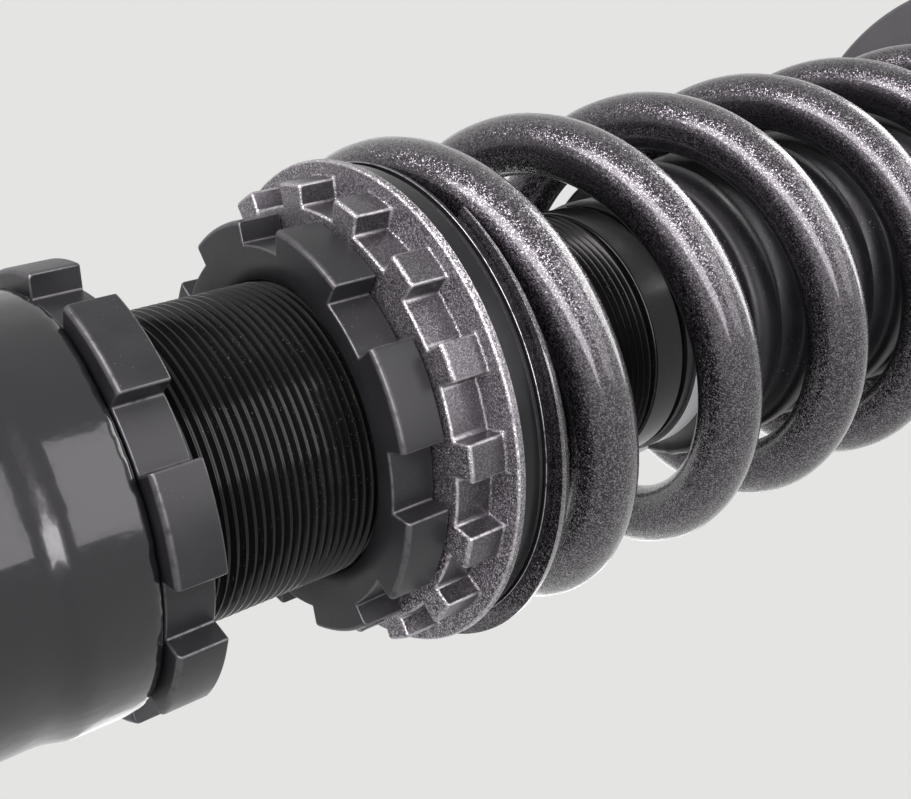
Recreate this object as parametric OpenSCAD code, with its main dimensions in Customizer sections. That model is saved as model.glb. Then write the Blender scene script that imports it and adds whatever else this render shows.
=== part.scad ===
// Height-adjustable coilover strut, upright, with its lower mounting bore at the origin.
// A threaded damper body screws into a cast lower bracket. Two castellated lock rings and a
// castellated spring perch run on its thread. A thrust bearing on the perch carries the wound
// spring, and the piston rod carries the upper seat, the bump stop and the pillow-ball mount.

/* [Threaded body] */
// Outside diameter of the body thread
thread_d = 50; // [49.6:0.2:50.4]
// Bore of the damper tube
tube_bore_d = 40; // [38:0.5:42]
// Height of the lower end of the damper tube
tube_bottom_z = 66; // [62:1:70]
// Height where the body thread ends below the gland nut
thread_end_z = 234; // [230:1:236]

/* [Lower bracket] */
// Outside diameter of the bracket's socket
socket_d = 63; // [60:0.5:66]
// Height of the socket's rim
socket_top_z = 131.9; // [128:0.1:131.9]
// Outside diameter of the lower eye
eye_d = 46; // [42:1:50]
// Width of the lower eye along its bore
eye_w = 34; // [30:1:38]
// Diameter of the bolt bore in the bush sleeve
bolt_bore_d = 12.1; // [10.1:0.5:12.6]
// Length of the bush sleeve
sleeve_len = 40; // [38:1:46]

/* [Lock rings] */
// Outside diameter of both lock rings
ring_d = 70; // [68:0.5:71]
// Diameter at the floor of the spanner notches
ring_floor_d = 62.3; // [60:0.5:64]
// Thickness of a lock ring
ring_h = 7.8; // [7:0.1:7.8]
// Number of spanner notches in a lock ring
ring_notches = 8; // [6:1:10]
// Angle that one tooth of a lock ring spans
ring_tooth_angle = 26.9; // [24:0.1:27]

/* [Spring perch] */
// Height of the perch lock ring's lower face
perch_z = 170; // [166:1:172]
// Outside diameter over the perch's castellations
perch_tooth_d = 79.2; // [78:0.2:80]
// Diameter at the floor between the castellations
perch_floor_d = 71.9; // [71:0.1:74]
// Outside diameter of the perch's flange
flange_d = 84.4; // [83:0.2:86]
// Number of castellations on the perch
perch_teeth = 16; // [12:1:20]
// Angle that one castellation of the perch spans
perch_tooth_angle = 9; // [8:0.1:10]

/* [Main spring] */
// Diameter of the spring wire
wire_d = 11.2; // [10:0.1:11.2]
// Mean diameter of the coils
coil_mean_d = 76.7; // [76:0.1:78]
// Rise of one active coil
active_pitch = 31.4; // [28:0.1:33]
// Rise of one turn where an end coil is closed
closed_pitch = 8; // [7.8:0.1:8.4]
// Length of the spring as it is fitted
spring_len = 183.4; // [170:0.2:200]

/* [Damper rod and stroke] */
// Diameter of the piston rod
rod_d = 14; // [12:0.5:15]
// Diameter of the rod's threaded top
rod_top_d = 12; // [10:0.5:12]
// Stroke of the damper from full extension
stroke = 58; // [40:1:58]

/* [Upper mount] */
// Diameter of the upper mount plate
plate_d = 112.8; // [108:0.4:116]
// Thickness of the upper mount plate
plate_h = 8; // [6:0.5:9]
// Diameter of the circle of mounting studs
stud_circle_d = 90; // [84:1:94]
// Number of mounting studs
stud_count = 3; // [3:1:4]
// Diameter of a mounting stud
stud_d = 8; // [6:1:8]

/* [Hidden] */

$fn = 96;
thread_r = thread_d / 2;
tube_bore_r = tube_bore_d / 2;
rod_r = rod_d / 2;
rod_top_r = rod_top_d / 2;
run_gap = 0.05;   // radial clearance of parts that turn or slide on one another
cut = 1;          // how far a cutter runs past the face that it opens

// Lower bracket
eye_r = eye_d / 2;
bush_r = 16;
sleeve_r = 9;
shell_wall = 1.6;
socket_r = socket_d / 2;
socket_floor_z = 48;
socket_neck_z = 62;
eye_neck_r = 17;
eye_neck_z = 26;         // flat joint where the eye is welded to the bracket
drain_r = 2;

// Lock rings and perch, heights above the perch lock ring's lower face
ring_r = ring_d / 2;
ring_floor_r = ring_floor_d / 2;
ring_chamfer = 0.9;
notch_chamfer = 0.4;
tooth_chamfer = 0.7;
ring_lead_in_r = 28;
ring_lead_in_h = 1.7;
bracket_ring_z = perch_z - 37.7;
bracket_ring_turn = 215.2;
perch_ring_turn = 203;
perch_low = perch_z + 8.4;
perch_flange_low = perch_z + 15.2;
perch_flange_top = perch_z + 16.8;
perch_neck_top = perch_z + 17.2;
perch_spigot_top = perch_z + 28.5;
perch_turn = 230.4;
perch_spigot_r = 31.7;
race_in_r = 32.2;
race_out_r = 40.7;
race_rim_r = 39;
race_floor_z = perch_z + 19;
race_rim_top = perch_z + 21.1;
upper_race_z = perch_z + 21;
upper_flange_z = perch_z + 22;
seat_plane_z = perch_z + 22.6;
roller_count = 30;
roller_d = upper_race_z - race_floor_z - 2 * run_gap;
roller_len = 4.6;
roller_mid_r = 35.6;

// Spring: the wire's centre climbs at the closed pitch, bends into the active pitch over
// bend_angle, and bends back into the closed upper end. Both ends are ground flat.
wire_r = wire_d / 2;
coil_r = coil_mean_d / 2;
closed_angle = 306;
bend_angle = 216;
tip_turn = 226.5;
grind = 2.4;             // height of the ground face above the wire's centre at the tip
closed_rate = closed_pitch / 360;
active_rate = active_pitch / 360;
active_angle = (spring_len + 2 * grind - 2 * closed_angle * closed_rate) / active_rate;
spring_turn = 2 * closed_angle + active_angle;
rings_per_turn = 24;
wire_sides = 8;
ring_total = ceil(spring_turn / 360 * rings_per_turn);

// Rise of the wire's centre at an angle after a corner where the rate grows by rate_step
function bend(angle, rate_step) =
    angle <= -bend_angle / 2 ? 0 :
    angle >= bend_angle / 2 ? rate_step * angle :
    rate_step * pow(angle + bend_angle / 2, 2) / (2 * bend_angle);
// Height of the wire's centre above the tip's centre at an angle along the wire
function climb(angle) = closed_rate * angle
    + bend(angle - closed_angle, active_rate - closed_rate)
    - bend(angle - closed_angle - active_angle, active_rate - closed_rate);
tip_z = seat_plane_z - grind;
spring_top_z = seat_plane_z + spring_len;

// Damper internals
base_cap_top_z = tube_bottom_z + 12;
base_groove_z = tube_bottom_z + 6;
guide_low_z = thread_end_z - 12;
guide_top_z = guide_low_z + 9;
guide_r = 22.5;
bush_top_z = guide_low_z + 4;
groove_d = 2.6;
piston_h = 10;
piston_low_z = guide_low_z - 24;
shim_t = 0.5;
shim_count = 4;
shim_total_h = shim_count * shim_t;
rod_low_z = piston_low_z - 12;
rod_stud_r = rod_top_r - 1;
rod_shoulder_z = piston_low_z + piston_h + shim_total_h;
stop_ring_z = rod_shoulder_z + 3.4;
stop_ring_h = 1.2;
needle_r = 3;
needle_low_z = piston_low_z + piston_h;
gas_piston_h = 12;
gas_piston_z = piston_low_z - stroke - 40;
gland_low_z = thread_end_z + 0.4;
gland_top_z = thread_end_z + 8;
gland_spigot_top_z = gland_top_z + 9;
gland_spigot_r = 22;

// Upper seat, mount and boot
seat_shoulder_z = spring_top_z - 4;
upper_seat_r = 43;
seat_flange_h = 4.3;
upper_seat_top_z = spring_top_z + seat_flange_h;
seat_spigot_r = 31.7;
plate_z = upper_seat_top_z + 4.1;
ball_r = 13;
ball_half_h = 9;
ball_z = plate_z + 7.6;
race_r = 18;
race_half_h = 6;
hub_r = 25;
hub_top_z = ball_z + 9;
boot_low_z = gland_top_z + 1;
boot_top_z = seat_shoulder_z - 0.2;
boot_collar_top_z = boot_low_z + 8.5;
boot_wall = 1.6;
boot_collar_r = 24.6;
boot_mouth_r = 27.2;
boot_crest_r = 30.4;
boot_valley_r = 24.4;
boot_pitch = 15;
boot_first_crest_z = gland_top_z + 19;
boot_folds = floor((boot_top_z - boot_first_crest_z - 10) / boot_pitch) + 1;
boot_crest_half = 3.4;
boot_valley_half = 1.8;
stud_head_r = 6;
stud_head_h = 1.6;
stud_shank_r = stud_d / 2 + 0.4;
stud_len = 22;
rod_tip_z = ball_z + 27;
knob_z = rod_tip_z + 0.3;
knob_h = 10;

least_gap = min([for (i = [0 : ring_total - rings_per_turn - 2])
    for (j = [i + rings_per_turn - 2 : i + rings_per_turn + 2])
        for (p = wire_ring(i)) for (q = wire_ring(j)) norm(p - q)]);
echo(least_gap_of_spring_to_itself = least_gap);

// ---------- shared shapes ----------

// A ring between two radii and two heights
module ring(out_r, in_r, low, high) {
    difference() {
        translate([0, 0, low]) cylinder(r = out_r, h = high - low);
        translate([0, 0, low - cut]) cylinder(r = in_r, h = high - low + 2 * cut);
    }
}

// Teeth round a ring, each the same outline turned through the tooth's angle
module teeth(count, tooth_angle, outline) {
    for (k = [0 : count - 1]) rotate(k * 360 / count)
        rotate_extrude(angle = tooth_angle) polygon(outline);
}

// A hexagon bar along Z, measured across its flats
module hex_bar(flats, low, high) {
    translate([0, 0, low]) cylinder(d = flats / cos(30), h = high - low, $fn = 6);
}

// ---------- lower bracket ----------

// The bracket's casting: a socket for the body, narrowed to a ribbed neck above the eye
module lower_bracket() {
    color("#0c0c0e") difference() {
        union() {
            rotate_extrude() polygon([[0, eye_neck_z], [eye_neck_r, eye_neck_z], [22, 40], [28.5, 53],
                [socket_r, socket_neck_z], [socket_r, 118], [socket_r + 1.2, 121],
                [socket_r + 1.2, socket_top_z - 2.2], [socket_r - 0.6, socket_top_z], [0, socket_top_z]]);
            for (side = [-1, 1]) translate([side * 18.5, 0, 0]) rotate([90, 0, 0])
                translate([0, 0, -3.5]) linear_extrude(7)
                    polygon([[-side * 8, eye_neck_z], [side * 2, eye_neck_z], [side * 5.5, 34],
                        [side * 11, 58], [-side * 8, 58]]);
        }
        translate([0, 0, socket_floor_z]) cylinder(r = thread_r + run_gap, h = socket_top_z);
        translate([0, 0, socket_top_z - 1.2])
            cylinder(r1 = thread_r + run_gap, r2 = thread_r + 2.5, h = 2.4);
        translate([0, 0, socket_floor_z + 4]) rotate([90, 0, 90]) translate([0, 0, -socket_d])
            cylinder(r = drain_r, h = 2 * socket_d);
    }
}

// The eye: a forged tube on its side with a round neck, welded under the casting
module bracket_eye() {
    color("#0c0c0e") difference() {
        union() {
            rotate_extrude() polygon([[0, 10], [15, 10], [eye_neck_r, eye_neck_z], [0, eye_neck_z]]);
            rotate([90, 0, 0]) translate([0, 0, -eye_w / 2]) cylinder(r = eye_r, h = eye_w);
        }
        rotate([90, 0, 0]) translate([0, 0, -eye_w / 2 - cut]) cylinder(r = bush_r, h = eye_w + 2 * cut);
    }
}

module bush_shell() {
    color("silver") rotate([90, 0, 0]) ring(bush_r, bush_r - shell_wall, -eye_w / 2 - 0.5, eye_w / 2 + 0.5);
}

module bush_rubber() {
    half = eye_w / 2 + 1.5;
    color("#151515") rotate([90, 0, 0]) rotate_extrude()
        polygon([[sleeve_r + run_gap, -half], [11.6, -half], [bush_r - shell_wall, -half + 2.6],
            [bush_r - shell_wall, half - 2.6], [11.6, half], [sleeve_r + run_gap, half]]);
}

module bush_sleeve() {
    half = sleeve_len / 2;
    color("silver") rotate([90, 0, 0]) difference() {
        rotate_extrude() polygon([[0, -half], [sleeve_r - 0.6, -half], [sleeve_r, -half + 0.6],
            [sleeve_r, half - 0.6], [sleeve_r - 0.6, half], [0, half]]);
        translate([0, 0, -half - cut]) cylinder(r = bolt_bore_d / 2, h = sleeve_len + 2 * cut);
    }
}

// ---------- lock rings and spring perch ----------

// A lock ring: a threaded ring with a lead-in and a round of teeth between spanner notches
module lock_ring(low, turn) {
    bore_r = thread_r + run_gap;
    root_r = ring_floor_r - 2;
    translate([0, 0, low]) rotate(turn) {
        rotate_extrude() polygon([[ring_lead_in_r, 0], [ring_floor_r - notch_chamfer, 0],
            [ring_floor_r, notch_chamfer], [ring_floor_r, ring_h - notch_chamfer],
            [ring_floor_r - notch_chamfer, ring_h], [bore_r + 0.8, ring_h], [bore_r, ring_h - 0.8],
            [bore_r, ring_lead_in_h]]);
        teeth(ring_notches, ring_tooth_angle, [[root_r, 0], [ring_r - ring_chamfer, 0],
            [ring_r, ring_chamfer], [ring_r, ring_h - notch_chamfer], [ring_r - notch_chamfer, ring_h],
            [root_r, ring_h]]);
    }
}

module bracket_lock_ring() {
    color("#232326") lock_ring(bracket_ring_z, bracket_ring_turn);
}

module perch_lock_ring() {
    color("#232326") lock_ring(perch_z, perch_ring_turn);
}

// The perch: castellations below a flange, with a spigot above that centres the spring
module spring_perch() {
    bore_r = thread_r + run_gap;
    floor_r = perch_floor_d / 2;
    tooth_r = perch_tooth_d / 2;
    flange_r = flange_d / 2;
    color("#8b868f") rotate(perch_turn) {
        rotate_extrude() polygon([[bore_r + 1.5, perch_low], [floor_r - notch_chamfer, perch_low],
            [floor_r, perch_low + notch_chamfer], [floor_r, perch_flange_low],
            [flange_r - 0.5, perch_flange_low], [flange_r, perch_flange_low + 0.5],
            [flange_r, perch_flange_top - 0.4], [flange_r - 0.4, perch_flange_top],
            [race_out_r - 1, perch_flange_top], [race_out_r - 1, perch_neck_top],
            [perch_spigot_r, perch_neck_top], [perch_spigot_r, perch_spigot_top - 1.5],
            [perch_spigot_r - 1.5, perch_spigot_top], [bore_r + 1, perch_spigot_top],
            [bore_r, perch_spigot_top - 1], [bore_r, perch_low + 1.5]]);
        teeth(perch_teeth, perch_tooth_angle, [[floor_r - 2, perch_low],
            [tooth_r - tooth_chamfer, perch_low], [tooth_r, perch_low + tooth_chamfer],
            [tooth_r, perch_flange_low + 0.5], [floor_r - 2, perch_flange_low + 0.5]]);
    }
}

// ---------- thrust bearing under the spring ----------

// Lower race: a cupped ring whose outer rim shields the rollers
module lower_race() {
    low = perch_neck_top + run_gap;
    color("#8f8a94") rotate_extrude() polygon([[race_in_r, low], [race_out_r - 0.3, low],
        [race_out_r, low + 0.3], [race_out_r, race_rim_top - 0.5], [race_out_r - 0.5, race_rim_top],
        [race_rim_r, race_rim_top], [race_rim_r, race_floor_z], [race_in_r, race_floor_z]]);
}

module needle_cage() {
    middle = (race_floor_z + upper_race_z) / 2;
    color("#1a1a1c") difference() {
        ring(race_rim_r - 0.3, race_in_r + 0.3, middle - 0.7, middle + 0.7);
        for (k = [0 : roller_count - 1]) rotate(k * 360 / roller_count)
            translate([roller_mid_r, 0, middle])
                cube([roller_len + 0.2, roller_d + 0.2, 4], center = true);
    }
}

module needle_rollers() {
    color("silver") for (k = [0 : roller_count - 1]) rotate(k * 360 / roller_count)
        translate([roller_mid_r, 0, (race_floor_z + upper_race_z) / 2]) rotate([0, 90, 0])
            cylinder(d = roller_d, h = roller_len, center = true, $fn = 24);
}

// Upper race: a stepped ring whose thin flange covers the lower race's rim
module upper_race() {
    color("#8f8a94") rotate_extrude() polygon([[race_in_r, upper_race_z], [race_rim_r - 0.6, upper_race_z],
        [race_rim_r - 0.6, upper_flange_z], [race_out_r, upper_flange_z],
        [race_out_r + 0.2, upper_flange_z + 0.2], [race_out_r + 0.2, seat_plane_z - 0.2],
        [race_out_r, seat_plane_z], [race_in_r, seat_plane_z]]);
}

module bearing_seal() {
    color("#151515") ring(race_out_r - 0.5, race_rim_r - 0.6, race_rim_top + 0.1, upper_flange_z);
}

// ---------- main spring ----------

// The ring of points round the wire at one step along it, ground flat at both ends
function wire_ring(i) =
    let (angle = spring_turn * i / ring_total)
    [for (k = [0 : wire_sides - 1])
        let (side = 360 * (k + 0.5) / wire_sides,
            out = coil_r + wire_r * cos(side),
            z = tip_z + climb(angle) + wire_r * sin(side))
        [out * cos(tip_turn + angle), out * sin(tip_turn + angle),
            min(max(z, seat_plane_z), spring_top_z)]];

module main_spring() {
    points = [for (i = [0 : ring_total]) each wire_ring(i)];
    sides = [for (i = [0 : ring_total - 1]) for (k = [0 : wire_sides - 1])
        let (a = i * wire_sides + k, b = i * wire_sides + (k + 1) % wire_sides)
        each [[a, b, a + wire_sides], [b, b + wire_sides, a + wire_sides]]];
    last = ring_total * wire_sides;
    caps = [for (k = [1 : wire_sides - 2]) each [[0, k + 1, k], [last, last + k, last + k + 1]]];
    color("#5f5a64") polyhedron(points = points, faces = concat(sides, caps));
}

// ---------- damper tube and its internals ----------

module damper_tube() {
    color("#101012") rotate_extrude() polygon([[tube_bore_r, tube_bottom_z], [thread_r - 1.5, tube_bottom_z],
        [thread_r, tube_bottom_z + 1.5], [thread_r, thread_end_z - 1], [thread_r - 1, thread_end_z],
        [guide_r, thread_end_z], [guide_r, guide_low_z], [tube_bore_r, guide_low_z]]);
}

module base_cap() {
    color("silver") difference() {
        union() {
            translate([0, 0, tube_bottom_z]) cylinder(r = tube_bore_r, h = base_cap_top_z - tube_bottom_z);
            translate([0, 0, tube_bottom_z - 3]) cylinder(r = thread_r - 2, h = 3);
        }
        translate([0, 0, tube_bottom_z - 4]) cylinder(r = 4, h = 20);
        ring(tube_bore_r + cut, tube_bore_r - 1.8, base_groove_z, base_groove_z + groove_d);
    }
}

module base_o_ring() {
    color("#151515")
        ring(tube_bore_r, tube_bore_r - 1.8, base_groove_z + 0.2, base_groove_z + groove_d - 0.2);
}

module gas_valve() {
    color("goldenrod") difference() {
        union() {
            translate([0, 0, tube_bottom_z - 2]) cylinder(r = 4, h = base_cap_top_z - tube_bottom_z + 1);
            translate([0, 0, tube_bottom_z - 6]) cylinder(r = 2.6, h = 5);
        }
        translate([0, 0, tube_bottom_z - 7]) cylinder(r = 1.4, h = 12);
    }
}

module floating_piston() {
    r = tube_bore_r - run_gap;
    color("#b9b9bd") difference() {
        translate([0, 0, gas_piston_z]) cylinder(r = r, h = gas_piston_h);
        translate([0, 0, gas_piston_z - cut]) cylinder(r = r - 4, h = 7 + cut);
        ring(r + cut, r - 2.2, gas_piston_z + 7.4, gas_piston_z + 10.4);
    }
}

module floating_piston_seal() {
    r = tube_bore_r - run_gap;
    color("#151515") ring(r, r - 2.2, gas_piston_z + 7.5, gas_piston_z + 10.3);
}

module rod_guide() {
    color("#b9b9bd") difference() {
        ring(guide_r, rod_r + 1.6, guide_low_z, guide_top_z);
        translate([0, 0, bush_top_z]) cylinder(r = rod_r + 4, h = 10);
        ring(guide_r + cut, guide_r - 1.8, guide_low_z + 1.5, guide_low_z + 1.5 + groove_d);
    }
}

module guide_o_ring() {
    color("#151515") ring(guide_r, guide_r - 1.8, guide_low_z + 1.7, guide_low_z + 1.3 + groove_d);
}

module rod_bush() {
    color("goldenrod") ring(rod_r + 1.6, rod_r + run_gap, guide_low_z, bush_top_z);
}

module rod_seal() {
    color("#151515") ring(rod_r + 4, rod_r + run_gap, bush_top_z, guide_top_z);
}

// Gland nut: a skirt screwed into the tube, a head as wide as the body with pin-spanner
// holes in its top, and a ribbed spigot for the boot
module gland_nut() {
    color("#101012") difference() {
        rotate_extrude() polygon([[0, guide_top_z], [guide_r, guide_top_z], [guide_r, gland_low_z],
            [thread_r - 1, gland_low_z], [thread_r - 0.3, gland_low_z + 0.7],
            [thread_r - 0.3, gland_top_z - 1.2], [thread_r - 1.5, gland_top_z], [gland_spigot_r, gland_top_z],
            [gland_spigot_r, gland_spigot_top_z - 1.5], [gland_spigot_r - 1.5, gland_spigot_top_z],
            [0, gland_spigot_top_z]]);
        translate([0, 0, guide_top_z - cut]) cylinder(r = rod_r + 1, h = 30);
        translate([0, 0, gland_spigot_top_z - 4]) cylinder(r = rod_r + 4, h = 5);
        for (k = [0 : 3]) rotate(45 + 90 * k) translate([15.5, 0, gland_spigot_top_z - 4])
            cylinder(r = 2, h = 5, $fn = 32);
    }
}

module wiper_seal() {
    color("#151515") rotate_extrude() polygon([[rod_r + run_gap, gland_spigot_top_z - 4],
        [rod_r + 4, gland_spigot_top_z - 4], [rod_r + 4, gland_spigot_top_z + 0.6],
        [rod_r + 2, gland_spigot_top_z + 0.6], [rod_r + 0.6, gland_spigot_top_z + 2.2],
        [rod_r + run_gap, gland_spigot_top_z + 2.2]]);
}

// ---------- rod and piston ----------

module piston_rod() {
    color("#d9d9dd") difference() {
        rotate_extrude() polygon([[0, rod_low_z], [rod_stud_r - 0.5, rod_low_z],
            [rod_stud_r, rod_low_z + 0.8], [rod_stud_r, rod_shoulder_z], [rod_r, rod_shoulder_z],
            [rod_r, seat_shoulder_z], [rod_top_r, seat_shoulder_z], [rod_top_r, rod_tip_z - 1],
            [rod_top_r - 1, rod_tip_z], [0, rod_tip_z]]);
        translate([0, 0, needle_low_z]) cylinder(r = needle_r, h = rod_tip_z);
        translate([0, 0, rod_low_z - cut]) cylinder(r = 2, h = needle_low_z);
        translate([0, 0, rod_shoulder_z + 1.7]) rotate([90, 0, 0]) translate([0, 0, -10])
            cylinder(r = 1.2, h = 20, $fn = 24);
        ring(rod_r + cut, rod_r - 1, stop_ring_z, stop_ring_z + stop_ring_h);
    }
}

// Damper piston with three wide rebound ports and three narrow compression ports
module piston() {
    color("#8a8d92") difference() {
        translate([0, 0, piston_low_z]) cylinder(r = tube_bore_r - 0.4, h = piston_h);
        translate([0, 0, piston_low_z - cut]) cylinder(r = rod_stud_r, h = piston_h + 2 * cut);
        ring(tube_bore_r + cut, tube_bore_r - 2, piston_low_z + 2, piston_low_z + 8);
        for (k = [0 : 5]) rotate(60 * k) translate([k % 2 == 0 ? 12 : 14.2, 0, piston_low_z - cut])
            cylinder(r = k % 2 == 0 ? 2.4 : 1.8, h = piston_h + 2 * cut, $fn = 32);
    }
}

module piston_band() {
    color("#6b4a2b") ring(tube_bore_r - run_gap, tube_bore_r - 2, piston_low_z + 2, piston_low_z + 8);
}

// Shims under the piston, each smaller than the one before
module compression_shims() {
    color("silver") for (k = [0 : shim_count - 1])
        ring(17 - 2 * k, rod_stud_r, piston_low_z - shim_t * (k + 1), piston_low_z - shim_t * k);
}

module rebound_shims() {
    top = piston_low_z + piston_h;
    color("silver") for (k = [0 : shim_count - 1])
        ring(16.5 - 2 * k, rod_stud_r, top + shim_t * k, top + shim_t * (k + 1));
}

module piston_nut() {
    top = piston_low_z - shim_total_h;
    color("silver") difference() {
        union() {
            hex_bar(17, top - 7, top - 1);
            translate([0, 0, top - 1]) cylinder(r = 9.5, h = 1);
        }
        translate([0, 0, top - 8]) cylinder(r = rod_stud_r, h = 12);
    }
}

// Split ring in the rod's groove that carries the top-out bumper
module stop_ring() {
    color("silver") difference() {
        ring(rod_r + 1.8, rod_r - 1, stop_ring_z, stop_ring_z + stop_ring_h);
        translate([0, -1.5, stop_ring_z - cut]) cube([20, 3, 4]);
    }
}

module top_out_bumper() {
    color("#3b3b22") ring(12, rod_r, stop_ring_z + stop_ring_h, guide_low_z - 0.4);
}

// Bump stop: a foam cone with two grooves
module bump_stop() {
    top = seat_shoulder_z - 2;
    low = top - 56;
    color("#c9b24a") rotate_extrude() polygon([[rod_r + 0.1, low], [11.5, low], [14, low + 3], [15, low + 9],
        [14, low + 12.5], [12.6, low + 14], [14.2, low + 15.5], [17, low + 20], [17.6, low + 27],
        [16.4, low + 31], [14.6, low + 33], [16.6, low + 35], [19, low + 40], [19.4, low + 50],
        [18.6, top], [rod_r + 0.1, top]]);
}

module bump_cup() {
    top = seat_shoulder_z;
    color("silver") rotate_extrude() polygon([[rod_r, top - 2], [19.6, top - 2], [19.6, top - 8],
        [21, top - 8], [21, top - 0.4], [20.6, top], [rod_r, top]]);
}

// ---------- dust boot ----------

// Outline of one fold: a flat crest and a narrow valley joined by slanted walls
function fold(k, inset) =
    let (z = boot_first_crest_z + k * boot_pitch, z2 = z + boot_pitch / 2,
        crest = boot_crest_r - inset, valley = boot_valley_r - inset,
        half = boot_crest_half, half2 = boot_valley_half, soft = 1.1)
    [[crest - soft, z - half - 0.4], [crest, z - half + 0.9],
        [crest, z + half - 0.9], [crest - soft, z + half + 0.4],
        [valley + soft, z2 - half2 - 0.6], [valley, z2 - half2 + 0.9],
        [valley, z2 + half2 - 0.9], [valley + soft, z2 + half2 + 0.6]];

module dust_boot() {
    outer = concat([[boot_collar_r, boot_low_z], [boot_collar_r, boot_collar_top_z],
        [boot_valley_r, boot_collar_top_z + 1.5]],
        [for (k = [0 : boot_folds - 1]) each fold(k, 0)],
        [[boot_mouth_r, boot_top_z - 2.6], [boot_mouth_r, boot_top_z]]);
    inner = concat([[gland_spigot_r, boot_low_z], [gland_spigot_r, boot_collar_top_z],
        [boot_valley_r - boot_wall, boot_collar_top_z + 1.5]],
        [for (k = [0 : boot_folds - 1]) each fold(k, boot_wall)],
        [[boot_mouth_r - boot_wall, boot_top_z - 2.6], [boot_mouth_r - boot_wall, boot_top_z]]);
    count = len(inner);
    color("#17171a") rotate_extrude()
        polygon(concat(outer, [for (i = [0 : count - 1]) inner[count - 1 - i]]));
}

module boot_clamp() {
    color("silver") union() {
        ring(boot_collar_r + 0.7, boot_collar_r, boot_low_z + 2, boot_low_z + 7);
        translate([boot_collar_r + 0.2, -3, boot_low_z + 2.5]) cube([2.2, 6, 4]);
    }
}

// ---------- upper seat and mount ----------

module upper_seat() {
    spigot_low = spring_top_z - 11;
    color("#1c1c1f") difference() {
        rotate_extrude() polygon([[0, seat_shoulder_z], [boot_mouth_r + 0.3, seat_shoulder_z],
            [boot_mouth_r + 0.3, spigot_low],
            [seat_spigot_r - 1.2, spigot_low], [seat_spigot_r, spigot_low + 1.2],
            [seat_spigot_r, spring_top_z],
            [upper_seat_r, spring_top_z], [upper_seat_r, upper_seat_top_z - 1.2],
            [upper_seat_r - 1.2, upper_seat_top_z], [0, upper_seat_top_z]]);
        translate([0, 0, seat_shoulder_z - cut]) cylinder(r = rod_top_r, h = 40);
        ring(upper_seat_r - 6, 18, upper_seat_top_z - 1.4, upper_seat_top_z + cut);
    }
}

module ball_spacer() {
    color("silver") difference() {
        rotate_extrude() polygon([[0, upper_seat_top_z], [11, upper_seat_top_z],
            [9, ball_z - ball_half_h], [0, ball_z - ball_half_h]]);
        translate([0, 0, upper_seat_top_z - cut]) cylinder(r = rod_top_r, h = 10);
    }
}

module bearing_ball() {
    color("#e2e2e6") difference() {
        intersection() {
            translate([0, 0, ball_z]) sphere(r = ball_r);
            translate([0, 0, ball_z - ball_half_h]) cylinder(r = 20, h = 2 * ball_half_h);
        }
        translate([0, 0, ball_z - 20]) cylinder(r = rod_top_r, h = 40);
    }
}

module bearing_race() {
    color("#77777c") difference() {
        translate([0, 0, ball_z - race_half_h]) cylinder(r = race_r, h = 2 * race_half_h);
        translate([0, 0, ball_z]) sphere(r = ball_r + run_gap);
    }
}

module retaining_ring() {
    color("#3a3a3c") difference() {
        ring(race_r + 1, race_r - 3, ball_z + race_half_h, ball_z + race_half_h + 1.5);
        translate([0, -3, ball_z + race_half_h - cut]) cube([40, 6, 4]);
    }
}

// Mount plate: a round plate with a bearing hub and three windows between the studs
module top_plate() {
    r = plate_d / 2;
    top = plate_z + plate_h;
    color("#a9a7ac") difference() {
        rotate_extrude() polygon([[0, ball_z - race_half_h - 2], [hub_r - 3, ball_z - race_half_h - 2],
            [hub_r - 1.5, plate_z], [r - 0.8, plate_z], [r, plate_z + 0.8], [r, top - 1.5], [r - 1.5, top],
            [hub_r + 2, top], [hub_r, top + 2], [hub_r, hub_top_z - 1], [hub_r - 1, hub_top_z],
            [0, hub_top_z]]);
        translate([0, 0, ball_z - race_half_h]) cylinder(r = race_r, h = 40);
        translate([0, 0, plate_z - 10]) cylinder(r = race_r - 2.5, h = 40);
        ring(race_r + 1, race_r - cut, ball_z + race_half_h, ball_z + race_half_h + 1.5);
        for (k = [0 : stud_count - 1]) rotate(90 + k * 360 / stud_count)
            translate([stud_circle_d / 2, 0, plate_z - cut]) {
                cylinder(r = stud_shank_r, h = plate_h + 2 * cut, $fn = 48);
                cylinder(r = stud_head_r, h = stud_head_h + cut, $fn = 48);
            }
        for (k = [0 : stud_count - 1]) rotate(90 + (k + 0.5) * 360 / stud_count) for (side = [-1, 0, 1])
            rotate(side * 17) translate([stud_circle_d / 2 - 4, 0, plate_z - cut])
                cylinder(r = 5, h = plate_h + 2 * cut, $fn = 48);
    }
}

// Studs pressed in from below: a flush round head, a serrated shank in the plate and a thread
module mount_studs() {
    top = plate_z + plate_h;
    color("#b8a46a") for (k = [0 : stud_count - 1]) rotate(90 + k * 360 / stud_count)
        translate([stud_circle_d / 2, 0, 0]) rotate_extrude($fn = 48) polygon([[0, plate_z],
            [stud_head_r, plate_z], [stud_head_r, plate_z + stud_head_h],
            [stud_shank_r, plate_z + stud_head_h], [stud_shank_r, top], [stud_d / 2, top],
            [stud_d / 2, top + stud_len - 1.2], [stud_d / 2 - 1.2, top + stud_len], [0, top + stud_len]]);
}

module rod_washer() {
    low = ball_z + ball_half_h;
    color("silver") ring(11.5, rod_top_r, low, low + 2.5);
}

module rod_nut() {
    low = ball_z + ball_half_h + 2.5;
    color("#b9b9bd") difference() {
        intersection() {
            hex_bar(19, low, low + 10);
            translate([0, 0, ball_z + 10]) rotate_extrude() polygon([[0, 0], [9.6, 0], [11.2, 2],
                [11.2, 9.6], [9.4, 12], [0, 12]]);
        }
        translate([0, 0, low - cut]) cylinder(r = rod_top_r, h = 14);
    }
}

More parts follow.
